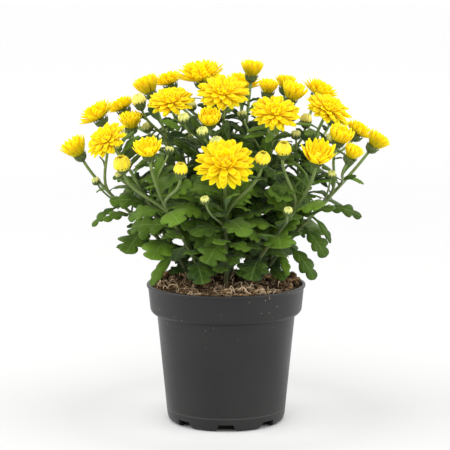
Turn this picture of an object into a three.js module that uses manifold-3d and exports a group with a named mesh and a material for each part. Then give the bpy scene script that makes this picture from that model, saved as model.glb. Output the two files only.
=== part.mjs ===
// A potted chrysanthemum: a moulded nursery pot, its peat, the leafy stems that stand in it
// and the flower heads that they carry.
// Millimetres, +Z up, the front faces -Y. The origin is the middle of the pot's flat base.
import * as THREE from 'three';
import { mergeVertices } from 'three/addons/utils/BufferGeometryUtils.js';
import Module from 'manifold-3d';

const wasm = await Module();
wasm.setup();

// ---- Driving dimensions -------------------------------------------------------------------

const POT_HEIGHT = 106.3;
const RIM_RADIUS = 60.9;
const COLLAR_RADIUS = 58; // at the lower edge of the collar
const BODY_TOP_RADIUS = 53; // where the body meets the collar's step
const BASE_RADIUS = 45.4;
const SHOULDER_Z = 83.5; // underside of the collar's step
const WALL = 1.4;
const FLOOR = 1.6;
const POT_SIDES = 24;
const FOOT_EDGE = { flat: 3.4, turn: 0.9, low: 1.8, high: 5 }; // inwards and up: the base's edge
const STEP_EDGE = { inner: 2, low: 0.3, high: 2.8 }; // inwards and up: the collar's lower edge
const LIP = { proud: 1.2, width: 2.5, low: 3, high: 1.9 }; // the rim's lip, down from the top
const INSIDE = { collar: 5, step: 1.2, foot: 6.5, corner: 4 }; // corners of the inner face
const NOTCH = { count: 8, low: 8, high: 5.5, height: 5.6, inner: 36, outer: 52 }; // half widths

const GAP = 0.3; // left between pieces that touch
const SLIVER = 0.02; // edges and steps below this are closed up after joining
const SOIL_ROOM = 0.5; // from the peat's side to the pot's wall
const SOIL_TOP = 104.3; // the peat's edge, just below the rim
const SOIL_STEP = 0.8; // how far the lumpy face starts above that edge
const SOIL_CROWN = 4.5; // how far the peat's middle stands above its edge
const SOIL_RINGS = [0.86, 0.6, 0.3]; // rings of the lumpy face, as parts of the edge's radius
const SOIL_LUMP = 1.5;
const COARSE = { x: 0.23, y: 0.27, xShift: 1.3, yShift: -0.6, share: 0.6 }; // waves of the lumps
const FINE = { x: [0.61, 0.53], y: [-0.47, 0.71], shift: 0.9, share: 0.4 };
const HOLE_SIDES = 6;
const FOOT_Z = 82; // lower end of every stem, down in the peat
const COLLAR_Z = 110.5; // where the stems leave the peat

const STEM_RADIUS = 1.7;
const BRANCH_RADIUS = 1.3;
const TWIG_RADIUS = 0.8;
const BRANCH_TAPER = 0.8; // a branch's upper radius, as a part of its lower one
const STEM_MESH = { sides: 5, steps: 5 };
const BRANCH_MESH = { sides: 4, steps: 3 };
const STEM_REACH = 34; // how far up a stem keeps the direction that it leaves the peat in
const STEM_LEAN = 0.75; // and how far outwards, as a part of its foot's distance from the axis
const BRANCH_PULL = 0.32; // how strongly a branch keeps its first and last direction
const HEADING_STEP = 0.02; // how far along a stem its direction is taken
const CUP_DEPTH = 0.95; // the green cup's depth, as a part of its radius
const CUP_RINGS = [[0.4, 0.86], [1, 1]]; // height and width, as parts of the whole cup
const BUD_RINGS = [[-0.5, 0.95], [0.5, 0.9]]; // height and width, as parts of the bud's radius

const LEAF_THICKNESS = 0.8;
const LEAF_FOLD = 0.16; // how far a blade's halves rise from its rib, per millimetre
const LEAF_ARCH = 0.12; // height of the rib's bend over its chord, per millimetre
const LEAF_CLEAR = 4.2; // least distance between the middles of a leaf and of its neighbours
const LOW_LEAF_Z = COLLAR_Z - 6; // a leaf that dips lower stays outside the rim
const RIM_CLEAR = 3;
const GOLDEN_ANGLE = 2.399963;

// ---- The plant's layout -------------------------------------------------------------------

// Feet of the stems on the peat, x and y.
const FEET = [
  [0, -25], [-16, -21], [-26, -10], [-28, 5], [-17, 7], [-10, -8], [1, -12],
  [16, -21], [26, -9], [27, 6], [12, -6], [4, 8], [-13, 22], [14, 22],
];

// Flower heads: form, stem, place along it where the branch leaves (1 ends the stem itself),
// middle of the head, diameter, and the direction that it faces.
const HEADS = [
  ['open', 0, 1, [-1, -92, 209], 44, [0, -0.77, 0.64]],
  ['open', 2, 1, [-88, -52, 222], 33, [-0.45, -0.62, 0.64]],
  ['half', 3, 0.72, [-99, 12, 236], 32, [-0.52, 0.05, 0.85]],
  ['open', 5, 0.66, [-41, -28, 249], 36, [-0.1, -0.55, 0.83]],
  ['half', 5, 1, [-20, 10, 267], 39, [-0.17, -0.08, 0.98]],
  ['open', 6, 1, [-2, -32, 256], 41, [0, -0.6, 0.8]],
  ['open', 10, 1, [36, -50, 242], 38, [0.05, -0.62, 0.78]],
  ['open', 9, 1, [77, -25, 243], 37, [0.35, -0.5, 0.79]],
  ['half', 9, 0.7, [74, 38, 252], 31, [0.45, 0.05, 0.88]],
  ['half', 5, 0.72, [-45, 45, 260], 26, [-0.3, 0.05, 0.95]],
  ['fan', 4, 1, [-61, 22, 257], 20, [-0.38, 0.05, 0.92]],
  ['half', 4, 0.7, [-82, 42, 240], 24, [-0.45, 0.15, 0.88]],
  ['half', 11, 0.7, [13, 44, 258], 32, [0.1, 0.1, 0.99]],
  ['fan', 3, 1, [-115, 0, 211], 20, [-0.5, -0.1, 0.85]],
  ['funnel', 1, 1, [-56, -78, 217], 21, [-0.12, -0.4, 0.91]],
  ['fan', 4, 0.66, [-72, -8, 232], 17, [-0.1, -0.2, 0.97]],
  ['bowl', 6, 0.72, [-12, -50, 238], 17, [0, -0.5, 0.86]],
  ['fan', 11, 1, [20, 18, 270], 17, [0.1, 0, 0.99]],
  ['fan', 10, 0.75, [32, 2, 257], 15, [0.1, -0.1, 0.99]],
  ['fan', 11, 0.75, [46, 24, 259], 15, [0.1, 0.1, 0.99]],
  ['fan', 10, 0.7, [51, -10, 254], 19, [0.35, -0.1, 0.93]],
  ['funnel', 7, 1, [66, -75, 213], 25, [0.12, -0.5, 0.86]],
  ['bowl', 8, 0.62, [84, -52, 226], 19, [0.3, -0.25, 0.92]],
  ['half', 9, 0.6, [103, 25, 222], 25, [0.55, 0.1, 0.83]],
  ['fan', 8, 0.7, [92, -62, 213], 14, [0.45, -0.2, 0.87]],
  ['fan', 8, 1, [114, -12, 217], 17, [0.6, 0, 0.8]],
  ['bud', 1, 0.55, [-75, -72, 206], 14, [-0.15, -0.4, 0.9]],
  ['bud', 1, 0.62, [-32, -92, 204], 11, [0.05, -0.35, 0.93]],
  ['bud', 0, 0.5, [26, -86, 211], 12, [0.1, -0.45, 0.89]],
  ['bud', 7, 0.6, [41, -76, 217], 13, [0.05, -0.4, 0.91]],
  ['bud', 4, 0.74, [-66, -4, 247], 12, [-0.3, -0.1, 0.95]],
  ['bud', 10, 0.6, [61, 6, 232], 10, [0.1, -0.1, 0.99]],
  ['open', 13, 0.6, [0, 95, 192], 36, [0, 0.8, 0.6]],
  ['open', 13, 1, [40, 80, 235], 36, [0.2, 0.55, 0.8]],
  ['open', 12, 1, [-44, 82, 240], 34, [-0.2, 0.55, 0.8]],
  ['bowl', 13, 0.7, [74, 80, 202], 23, [0.4, 0.5, 0.77]],
  ['fan', 12, 0.6, [-63, 85, 203], 20, [-0.3, 0.5, 0.8]],
  ['half', 12, 0.72, [-95, 56, 213], 28, [-0.55, 0.4, 0.73]],
  ['open', 9, 0.5, [86, 64, 230], 26, [0.45, 0.35, 0.82]],
  ['half', 11, 0.6, [-12, 64, 258], 24, [-0.1, 0.3, 0.95]],
];

// Small green buds: stem, place along it, middle, diameter.
const SMALL_BUDS = [
  [0, 0.36, [-15, -98, 182], 6],
  [2, 0.72, [-80, -35, 213], 6],
  [2, 0.6, [-78, -62, 196], 5],
  [3, 0.55, [-98, -12, 186], 6],
  [4, 0.6, [-75, -2, 221], 8],
  [4, 0.8, [-60, 8, 225], 8],
  [5, 0.6, [-31, -50, 236], 8],
  [5, 0.76, [-26, -8, 242], 7],
  [6, 0.6, [-17, -62, 227], 8],
  [6, 0.5, [-7, -68, 220], 9],
  [1, 0.8, [-41, -62, 214], 6],
  [10, 0.66, [12, -14, 236], 7],
  [7, 0.42, [44, -88, 173], 6],
  [9, 0.5, [52, -25, 222], 7],
  [9, 0.8, [77, -32, 220], 7],
  [8, 0.5, [77, -50, 195], 6],
  [13, 0.5, [30, 70, 205], 8],
  [12, 0.5, [-30, 70, 212], 8],
];

// Leaves that stand in the outline or in front: stem, place along it, tip, width, form.
const SHOWN_LEAVES = [
  [3, 0.62, [-103, -5, 151], 8, 'cut'],
  [3, 0.52, [-92, -14, 157], 11, 'cut'],
  [2, 0.5, [-87, -32, 175], 17, 'broad'],
  [1, 0.6, [-73, -52, 164], 15, 'broad'],
  [3, 0.42, [-75, -4, 151], 6, 'narrow'],
  [3, 0.4, [-75, -24, 133], 25, 'cut'],
  [3, 0.26, [-84, -8, 136], 9, 'narrow'],
  [2, 0.3, [-55, -48, 131], 24, 'broad'],
  [2, 0.2, [-57, -30, 109], 10, 'narrow'],
  [2, 0.06, [-43, -32, 119], 9, 'narrow'],
  [3, 0.76, [-100, 0, 179], 5, 'narrow'],
  [2, 0.66, [-85, -20, 191], 10, 'cut'],
  [1, 0.18, [-17, -56, 115], 20, 'broad'],
  [0, 0.34, [-15, -66, 132], 24, 'cut'],
  [0, 0.42, [-25, -74, 154], 15, 'broad'],
  [0, 0.56, [-14, -74, 176], 12, 'broad'],
  [0, 0.5, [15, -90, 155], 19, 'broad'],
  [0, 0.3, [17, -62, 141], 10, 'broad'],
  [7, 0.26, [12, -52, 142], 8, 'narrow'],
  [7, 0.2, [18, -56, 118], 24, 'cut'],
  [8, 0.1, [44, -28, 113], 12, 'broad'],
  [7, 0.42, [40, -60, 142], 24, 'broad'],
  [8, 0.22, [46, -34, 117], 8, 'narrow'],
  [8, 0.28, [67, -26, 113], 14, 'broad'],
  [8, 0.42, [75, -26, 130], 15, 'broad'],
  [8, 0.5, [80, -8, 138], 7, 'narrow'],
  [8, 0.46, [79, -42, 169], 14, 'broad'],
  [8, 0.56, [103, -20, 161], 13, 'cut'],
  [8, 0.8, [104, -14, 184], 4, 'narrow'],
  [7, 0.55, [30, -40, 182], 14, 'broad'],
  [5, 0.6, [-40, -16, 221], 15, 'broad'],
  [6, 0.6, [-3, -40, 226], 12, 'broad'],
  [10, 0.66, [31, -30, 222], 12, 'broad'],
  [5, 0.5, [-26, -40, 212], 14, 'broad'],
  [5, 0.66, [-27, -2, 226], 14, 'broad'],
  [11, 0.7, [19, -20, 231], 14, 'broad'],
  [10, 0.5, [21, -60, 196], 15, 'broad'],
];

const FRONT_LIGHT = [0, -0.8, 1]; // the way that these leaves turn their faces

// Leaves placed by rule: how many on each stem, from the peat up.
const RULE_LEAVES = [5, 5, 5, 5, 8, 7, 6, 5, 5, 8, 7, 7, 9, 9];
const RULE = {
  seed: 7,
  low: 0.16, // places of the lowest and the highest along a stem, and their scatter
  high: 0.85,
  scatter: 0.3,
  length: 40, // the lowest leaf's size, and the part of it that a stem's uppermost loses
  width: 26,
  loss: 0.5,
  slope: 0.35, // rise of the uppermost, how much less the lowest has, and scatter, in radians
  droop: 1.1,
  slopeScatter: 0.4,
  turnScatter: 0.6,
  faceScatter: 0.6,
  outward: 0.7, // how far the faces turn away from the plant's middle
  narrowAbove: 0.7, // places above this have narrow leaves, of this part of the width
  narrowWidth: 0.4,
  floor: 117, // blades stay above this height, and within a cone round the pot's axis: its
  cone: { radius: 38, widening: 1.1 }, // radius where the stems leave the peat, and its spread
};

// How a leaf may be moved to stay clear: a shown one's tip up and back, in millimetres, and a
// ruled one's size, rise and turn about its stem.
const SHOWN_BENDS = { lifts: [0, 4, -4, 8, -8], depths: [0, -7, 7, -14, 14] };
const RULE_BENDS = {
  shrinks: [1, 0.75],
  tilts: [0, 0.45, -0.45],
  swings: [0, 0.7, -0.7, 1.4, -1.4, 2.1, -2.1, 3],
};

// Where room is tested: a sample every so many millimetres of stem, one in the middle of a head
// and a ring of them near its edge, as parts of its radius, and rows of five over a blade.
const SAMPLE = { step: 5, middle: 0.6, edge: 0.8, edgeSize: 0.3, edgeCount: 10 };
const BLADE_ROWS = [[0.3, 0.2], [0.42, 0.7], [0.55, 0.7], [0.7, 1], [0.84, 0.6], [1, 0]];
const BLADE_PLACES = [-1, -0.5, 0, 0.5, 1];

// Outlines of the blades: place along the rib and half width, both as parts of the whole.
const OUTLINES = {
  cut: [[0, 0.08], [0.24, 0.12], [0.42, 0.72], [0.53, 0.44], [0.7, 1], [0.82, 0.56], [1, 0]],
  broad: [[0, 0.08], [0.22, 0.16], [0.4, 0.84], [0.66, 1], [0.85, 0.68], [1, 0]],
  narrow: [[0, 0.2], [0.3, 0.7], [0.65, 1], [1, 0]],
};

// Heads from below upwards: radius on the tip and on the notch columns and height, as parts of the
// radius. The second whorl's tips stand over the first one's notches.
const FORMS = {
  open: {
    petals: 12,
    rings: [[1, 0.7, 0.2, 0.15], [0.64, 0.9, 0.34, 0.42], [0.66, 0.46, 0.62, 0.52],
      [0.3, 0.4, 0.66, 0.76]],
    top: 0.68,
    middle: 0.3,
    cup: 5.2,
  },
  half: {
    petals: 11,
    rings: [[1, 0.68, 0.42, 0.26], [0.7, 0.9, 0.56, 0.64], [0.56, 0.42, 0.84, 0.72]],
    top: 0.84,
    middle: 0.42,
    cup: 5.2,
  },
  bowl: {
    petals: 10,
    rings: [[0.72, 0.66, 0.3, 0.3], [1, 0.82, 1.15, 0.85], [0.66, 0.6, 1.0, 0.98],
      [0.46, 0.62, 1.12, 1.28]],
    top: 1.1,
    middle: 0.8,
    cup: 4.6,
  },
  funnel: {
    petals: 9,
    rings: [[0.5, 0.45, 0.26, 0.26], [1, 0.76, 1.0, 0.72], [0.6, 0.72, 0.74, 0.92]],
    top: 0.62,
    middle: 0.6,
    cup: 4.4,
  },
  fan: {
    petals: 7,
    rings: [[0.55, 0.5, 0.25, 0.25], [1, 0.78, 1.45, 1.1], [0.5, 0.66, 1.25, 1.5]],
    top: 1.2,
    middle: 0.85,
    cup: 4.4,
  },
  bud: {
    petals: 6,
    rings: [[0.72, 0.66, 0.32, 0.32], [1, 0.9, 0.95, 0.95], [0.66, 0.8, 1.6, 1.5]],
    top: 1.62,
    middle: 0.9,
    cup: 3.4,
  },
};

// ---- Vectors, seeded draws and solids -----------------------------------------------------

const UP = new THREE.Vector3(0, 0, 1);

const vec = (place) => new THREE.Vector3(...place);

const along = (start, direction, distance) => start.clone().addScaledVector(direction, distance);

// A draw between 0 and 1 that is the same each time for the same seed.
function makeDraws(seed) {
  let state = seed * 7919 + 17;
  return () => {
    state = (state * 16807) % 2147483647;
    return state / 2147483647;
  };
}

// A geometry with its vertices joined and its empty triangles taken out.
function weld(geometry) {
  geometry.deleteAttribute('normal');
  geometry.deleteAttribute('uv');
  const welded = mergeVertices(geometry, 1e-3);
  const kept = [];
  const index = welded.index.array;
  for (let i = 0; i < index.length; i += 3) {
    const [a, b, c] = index.slice(i, i + 3);
    if (a !== b && b !== c && c !== a) kept.push(a, b, c);
  }
  welded.setIndex(kept);
  return welded;
}

function toSolid(geometry) {
  const welded = weld(geometry);
  const vertProperties = new Float32Array(welded.attributes.position.array);
  const triVerts = new Uint32Array(welded.index.array);
  const solid = new wasm.Manifold(new wasm.Mesh({ numProp: 3, vertProperties, triVerts }));
  if (solid.volume() > 0) return solid;
  for (let i = 0; i < triVerts.length; i += 3) {
    [triVerts[i], triVerts[i + 1]] = [triVerts[i + 1], triVerts[i]];
  }
  return new wasm.Manifold(new wasm.Mesh({ numProp: 3, vertProperties, triVerts }));
}

// Only the largest shell is kept, so sealed hollows are filled and loose scraps are dropped. Then
// the slivers that joining leaves are closed up.
function toGeometry(solid) {
  const shells = solid.decompose();
  const largest = shells.reduce((a, b) => (b.volume() > a.volume() ? b : a));
  const mesh = largest.asOriginal().simplify(SLIVER).getMesh();
  const geometry = new THREE.BufferGeometry();
  geometry.setAttribute('position', new THREE.BufferAttribute(mesh.vertProperties, 3));
  geometry.setIndex(new THREE.BufferAttribute(mesh.triVerts, 1));
  return geometry;
}

// A closed surface through rings of equally many points, between two poles. Seen from the last
// pole the rings run anticlockwise. Every second column is split along its other diagonal, so a
// raised column is alike on both sides.
function shell(firstPole, rings, lastPole) {
  const count = rings[0].length;
  const points = [firstPole, ...rings.flat(), lastPole];
  const last = points.length - 1;
  const at = (ring, column) => 1 + ring * count + (column % count);
  const index = [];
  for (let j = 0; j < count; j += 1) {
    index.push(0, at(0, j + 1), at(0, j));
    for (let i = 0; i + 1 < rings.length; i += 1) {
      const corners = [at(i, j), at(i, j + 1), at(i + 1, j + 1), at(i + 1, j)];
      const [a, b, c, d] = j % 2 === 0 ? corners : [...corners.slice(1), corners[0]];
      index.push(a, b, c, a, c, d);
    }
    index.push(at(rings.length - 1, j), at(rings.length - 1, j + 1), last);
  }
  const geometry = new THREE.BufferGeometry().setFromPoints(points);
  geometry.setIndex(index);
  return geometry;
}

// Two directions square to a given one; the first lies in the X-Z plane.
function crossAxes(direction) {
  const first = new THREE.Vector3(-direction.z, 0, direction.x).normalize();
  return [first, direction.clone().cross(first)];
}

function ring(middle, direction, radius, sides) {
  const [first, second] = crossAxes(direction);
  return Array.from({ length: sides }, (_, j) => {
    const angle = (2 * Math.PI * j) / sides;
    return along(along(middle, first, radius * Math.cos(angle)), second, radius * Math.sin(angle));
  });
}

// ---- Pot ----------------------------------------------------------------------------------

function makePot() {
  const outline = [
    [0, 0],
    [BASE_RADIUS - FOOT_EDGE.flat, 0],
    [BASE_RADIUS - FOOT_EDGE.turn, FOOT_EDGE.low],
    [BASE_RADIUS, FOOT_EDGE.high],
    [BODY_TOP_RADIUS, SHOULDER_Z],
    [COLLAR_RADIUS - STEP_EDGE.inner, SHOULDER_Z + STEP_EDGE.low],
    [COLLAR_RADIUS, SHOULDER_Z + STEP_EDGE.high],
    [RIM_RADIUS - LIP.proud, POT_HEIGHT - LIP.low],
    [RIM_RADIUS, POT_HEIGHT - LIP.high],
    [RIM_RADIUS, POT_HEIGHT],
    [RIM_RADIUS - LIP.width, POT_HEIGHT],
    [COLLAR_RADIUS - WALL, SHOULDER_Z + INSIDE.collar],
    [BODY_TOP_RADIUS - WALL, SHOULDER_Z + INSIDE.step],
    [BASE_RADIUS - WALL, INSIDE.foot],
    [BASE_RADIUS - WALL - INSIDE.corner, FLOOR],
    [0, FLOOR],
  ].map(([radius, height]) => new THREE.Vector2(radius, height));
  let pot = toSolid(new THREE.LatheGeometry(outline, POT_SIDES).rotateX(Math.PI / 2));
  const section = new THREE.Shape([
    new THREE.Vector2(-NOTCH.low, -1),
    new THREE.Vector2(NOTCH.low, -1),
    new THREE.Vector2(NOTCH.high, NOTCH.height),
    new THREE.Vector2(-NOTCH.high, NOTCH.height),
  ]);
  for (let i = 0; i < NOTCH.count; i += 1) {
    const angle = (2 * Math.PI * i) / NOTCH.count - Math.PI / 2;
    const radial = vec([Math.cos(angle), Math.sin(angle), 0]);
    const tangent = UP.clone().cross(radial);
    const cutter = new THREE.ExtrudeGeometry(section, {
      depth: NOTCH.outer - NOTCH.inner, bevelEnabled: false,
    });
    cutter.applyMatrix4(new THREE.Matrix4().makeBasis(tangent, UP, radial));
    cutter.translate(radial.x * NOTCH.inner, radial.y * NOTCH.inner, 0);
    pot = pot.subtract(toSolid(cutter));
  }
  return toGeometry(pot);
}

// ---- Peat ---------------------------------------------------------------------------------

// Height of the lumps on the peat.
function lump(x, y) {
  const coarse = Math.sin(COARSE.x * x + COARSE.xShift) * Math.cos(COARSE.y * y + COARSE.yShift);
  const fine = Math.sin(FINE.x[0] * x + FINE.y[0] * y)
    * Math.cos(FINE.x[1] * x + FINE.y[1] * y + FINE.shift);
  return SOIL_LUMP * (COARSE.share * coarse + FINE.share * fine);
}

function soilRing(radius, height) {
  return Array.from({ length: POT_SIDES }, (_, j) => {
    const angle = (2 * Math.PI * (j + 1)) / POT_SIDES;
    return vec([radius * Math.cos(angle), radius * Math.sin(angle), height]);
  });
}

function makeSoil() {
  const room = WALL + SOIL_ROOM;
  const edge = RIM_RADIUS - LIP.width - SOIL_ROOM - 2 * GAP;
  const sides = [
    [BASE_RADIUS - room - INSIDE.corner, FLOOR + GAP],
    [BASE_RADIUS - room, INSIDE.foot + GAP],
    [BODY_TOP_RADIUS - room, SHOULDER_Z + INSIDE.step],
    [COLLAR_RADIUS - room, SHOULDER_Z + INSIDE.collar + GAP],
    [edge, SOIL_TOP],
  ].map(([radius, height]) => soilRing(radius, height));
  const surface = SOIL_RINGS.map((part) => {
    const points = soilRing(edge * part, 0);
    points.forEach((point) => {
      point.z = SOIL_TOP + SOIL_STEP + SOIL_CROWN * (1 - part * part) + lump(point.x, point.y);
    });
    return points;
  });
  const bottom = vec([0, 0, FLOOR + GAP]);
  const top = vec([0, 0, SOIL_TOP + SOIL_STEP + SOIL_CROWN + lump(0, 0)]);
  let soil = toSolid(shell(bottom, [...sides, ...surface], top));
  const radius = (STEM_RADIUS + 2 * GAP) / Math.cos(Math.PI / HOLE_SIDES);
  const height = POT_HEIGHT + 2 * SOIL_CROWN - FOOT_Z;
  for (const [x, y] of FEET) {
    const hole = new THREE.CylinderGeometry(radius, radius, height, HOLE_SIDES).rotateX(Math.PI / 2);
    hole.translate(x, y, FOOT_Z - GAP + height / 2);
    soil = soil.subtract(toSolid(hole));
  }
  return toGeometry(soil);
}

// ---- Stems and branches -------------------------------------------------------------------

// Where a head's stalk ends below its cup, and the direction that the head faces.
function headAxis([form, , , middle, diameter, facing]) {
  const axis = vec(facing).normalize();
  const { middle: rise, cup } = FORMS[form];
  const seat = along(vec(middle), axis, (-rise * diameter) / 2);
  const depth = cup * CUP_DEPTH;
  return { axis, seat, neck: along(seat, axis, -depth - GAP), depth };
}

// The head that ends a stem.
const topHead = (stem) => HEADS.find((head) => head[1] === stem && head[2] === 1);

function stemCurve(stem) {
  const [x, y] = FEET[stem];
  const start = vec([x, y, COLLAR_Z]);
  const { axis, neck } = headAxis(topHead(stem));
  const rise = vec([x * STEM_LEAN, y * STEM_LEAN, STEM_REACH]);
  const last = along(neck, axis, -start.distanceTo(neck) * BRANCH_PULL);
  return new THREE.CubicBezierCurve3(start, start.clone().add(rise), last, neck);
}

const STEMS = FEET.map((_, stem) => stemCurve(stem));

function branchCurve(stem, place, neck, axis) {
  const start = STEMS[stem].getPoint(place);
  const heading = STEMS[stem].getPoint(place + HEADING_STEP).sub(start).normalize();
  const reach = start.distanceTo(neck) * BRANCH_PULL;
  const first = along(start, heading, reach);
  const last = along(neck, axis, -reach);
  return new THREE.CubicBezierCurve3(start, first, last, neck);
}

// Rings of a stalk that tapers from one radius to another along a curve.
function stalkRings(curve, steps, from, to, sides) {
  return Array.from({ length: steps + 1 }, (_, i) => {
    const place = i / steps;
    const heading = curve.getTangent(place).normalize();
    return ring(curve.getPoint(place), heading, from + (to - from) * place, sides);
  });
}

// The green cup below a head: rings that widen from the neck to the seat.
function cupRings(neck, axis, radius, depth, sides) {
  return CUP_RINGS.map(([height, width]) => (
    ring(along(neck, axis, depth * height), axis, radius * width, sides)));
}

function makeStem(stem) {
  const curve = STEMS[stem];
  const foot = vec([...FEET[stem], FOOT_Z]);
  const head = topHead(stem);
  const { axis, neck, depth } = headAxis(head);
  const { sides, steps } = STEM_MESH;
  const rings = [
    ring(foot, UP, STEM_RADIUS, sides),
    ...stalkRings(curve, steps, STEM_RADIUS, BRANCH_RADIUS, sides),
    ...cupRings(neck, axis, FORMS[head[0]].cup, depth, sides),
  ];
  return toSolid(shell(foot, rings, along(neck, axis, depth)));
}

function makeBranch(head) {
  const { axis, neck, depth } = headAxis(head);
  const curve = branchCurve(head[1], head[2], neck, axis);
  const { sides, steps } = BRANCH_MESH;
  const rings = [
    ...stalkRings(curve, steps, BRANCH_RADIUS, BRANCH_RADIUS * BRANCH_TAPER, sides),
    ...cupRings(neck, axis, FORMS[head[0]].cup, depth, sides),
  ];
  return toSolid(shell(curve.getPoint(0), rings, along(neck, axis, depth)));
}

// A small bud faces the way that its stalk arrives.
function budCurve([stem, place, middle]) {
  const start = STEMS[stem].getPoint(place);
  const axis = vec(middle).sub(start).normalize().add(UP).normalize();
  return branchCurve(stem, place, vec(middle), axis);
}

function makeSmallBud(bud) {
  const curve = budCurve(bud);
  const radius = bud[3] / 2;
  const axis = curve.getTangent(1).normalize();
  const middle = vec(bud[2]);
  const { sides, steps } = BRANCH_MESH;
  const rings = [
    ...stalkRings(curve, steps, TWIG_RADIUS, TWIG_RADIUS, sides).slice(0, steps),
    ring(along(middle, axis, -radius), axis, TWIG_RADIUS, sides),
    ...BUD_RINGS.map(([height, width]) => (
      ring(along(middle, axis, radius * height), axis, radius * width, sides))),
  ];
  return toSolid(shell(curve.getPoint(0), rings, along(middle, axis, radius)));
}

// ---- Heads --------------------------------------------------------------------------------

function makeHead(head) {
  const { axis, seat } = headAxis(head);
  const { petals, rings, top } = FORMS[head[0]];
  const radius = head[4] / 2;
  const [first, second] = crossAxes(axis);
  const place = (column, reach, height) => {
    const angle = (Math.PI * column) / petals;
    const point = along(seat, axis, height * radius);
    point.addScaledVector(first, reach * radius * Math.cos(angle));
    return point.addScaledVector(second, reach * radius * Math.sin(angle));
  };
  const columns = Array.from({ length: petals * 2 }, (_, column) => column);
  const surface = rings.map(([tip, notch, tipHeight, notchHeight]) => columns.map((column) => (
    column % 2 === 0 ? place(column, tip, tipHeight) : place(column, notch, notchHeight))));
  return toGeometry(toSolid(shell(seat, surface, along(seat, axis, top * radius))));
}

// ---- Leaves -------------------------------------------------------------------------------

// A leaf's rib bends away from its chord by an arch, and its halves rise from the rib.
function leafFrame(leaf) {
  const chord = leaf.tip.clone().sub(leaf.base);
  const heading = chord.clone().normalize();
  const side = heading.clone().cross(leaf.face).normalize();
  return { chord, heading, side, normal: side.clone().cross(heading) };
}

function leafPoint(leaf, frame, place, across, lift) {
  const { chord, side, normal } = frame;
  const bend = 4 * leaf.arch * place * (1 - place);
  const slope = 4 * leaf.arch * (1 - 2 * place);
  const heading = along(chord, normal, slope).normalize();
  const face = side.clone().cross(heading);
  const rib = along(along(leaf.base, chord, place), normal, bend);
  return along(along(rib, side, across), face, Math.abs(across) * LEAF_FOLD + lift);
}

function makeLeaf(leaf) {
  const frame = leafFrame(leaf);
  const rows = OUTLINES[leaf.form];
  const sides = leaf.ribbed ? [-1, 0, 1] : [-1, 1];
  const points = [];
  for (const lift of [LEAF_THICKNESS / 2, -LEAF_THICKNESS / 2]) {
    rows.forEach(([place, part], row) => {
      const half = (part * leaf.width) / 2;
      const acrosses = row === rows.length - 1 ? [0] : sides.map((side) => side * half);
      acrosses.forEach((across) => points.push(leafPoint(leaf, frame, place, across, lift)));
    });
  }
  const count = sides.length;
  const face = points.length / 2;
  const tip = face - 1;
  const index = [];
  const both = (a, b, c) => index.push(a, b, c, a + face, c + face, b + face);
  const wall = (a, b) => index.push(a, a + face, b, b, a + face, b + face);
  for (let start = 0; start < tip; start += count) {
    const last = start + count === tip;
    for (let a = start; a + 1 < start + count; a += 1) {
      both(a, a + 1, last ? tip : a + count + 1);
      if (!last) both(a, a + count + 1, a + count);
      if (start === 0) wall(a, a + 1);
    }
    wall(last ? tip : start + count, start);
    wall(start + count - 1, last ? tip : start + 2 * count - 1);
  }
  const geometry = new THREE.BufferGeometry().setFromPoints(points);
  geometry.setIndex(index);
  return toSolid(geometry);
}

// ---- Room between the stems ---------------------------------------------------------------

// Round samples of everything placed so far: middle, radius and the stem that it belongs to.
const samples = [];

function sampleCurve(curve, radius, stem, start) {
  const count = Math.ceil(curve.getLength() / SAMPLE.step);
  for (let i = start; i <= count; i += 1) samples.push([curve.getPoint(i / count), radius, stem]);
}

function sampleHead(head) {
  const { axis, seat } = headAxis(head);
  const radius = head[4] / 2;
  const [first, second] = crossAxes(axis);
  const middle = along(seat, axis, FORMS[head[0]].middle * radius);
  samples.push([middle, radius * SAMPLE.middle, head[1]]);
  if (head[0] === 'bud') return;
  for (let j = 0; j < SAMPLE.edgeCount; j += 1) {
    const angle = (2 * Math.PI * j) / SAMPLE.edgeCount;
    const out = along(middle, first, radius * SAMPLE.edge * Math.cos(angle));
    out.addScaledVector(second, radius * SAMPLE.edge * Math.sin(angle));
    samples.push([out, radius * SAMPLE.edgeSize, head[1]]);
  }
}

// Points over a leaf's blade, with how far along it they lie.
function leafSamples(leaf) {
  const frame = leafFrame(leaf);
  const spots = [];
  for (const [place, part] of BLADE_ROWS) {
    const half = (part * leaf.width) / 2;
    for (const across of BLADE_PLACES) {
      spots.push([leafPoint(leaf, frame, place, across * half, 0), place]);
    }
  }
  return spots;
}

// Whether a leaf stays clear of what other stems carry, and its outer half of its own stem's parts.
function isClear(leaf) {
  for (const [spot, place] of leafSamples(leaf)) {
    const low = spot.z < LOW_LEAF_Z;
    if (low && Math.hypot(spot.x, spot.y) < RIM_RADIUS + RIM_CLEAR) return false;
    for (const [middle, radius, stem] of samples) {
      const counts = stem !== leaf.stem || place > 0.5;
      if (counts && spot.distanceToSquared(middle) < (radius + LEAF_CLEAR) ** 2) return false;
    }
  }
  return true;
}

// Keeps the first of a leaf's bends that is clear. A leaf with no clear bend is left out.
function placeLeaf(bends, leaves) {
  const leaf = bends.find(isClear);
  if (!leaf) return;
  leafSamples(leaf).forEach(([spot]) => samples.push([spot, LEAF_THICKNESS / 2, leaf.stem]));
  leaves.push(leaf);
}

function shownLeaf([stem, place, tip, width, form]) {
  const base = STEMS[stem].getPoint(place);
  const bends = [];
  for (const lift of SHOWN_BENDS.lifts) {
    for (const depth of SHOWN_BENDS.depths) {
      const end = vec(tip).add(vec([0, depth, lift]));
      const arch = LEAF_ARCH * base.distanceTo(end);
      bends.push({ stem, base, tip: end, face: vec(FRONT_LIGHT), width, form, arch, ribbed: true });
    }
  }
  return bends;
}

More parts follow.
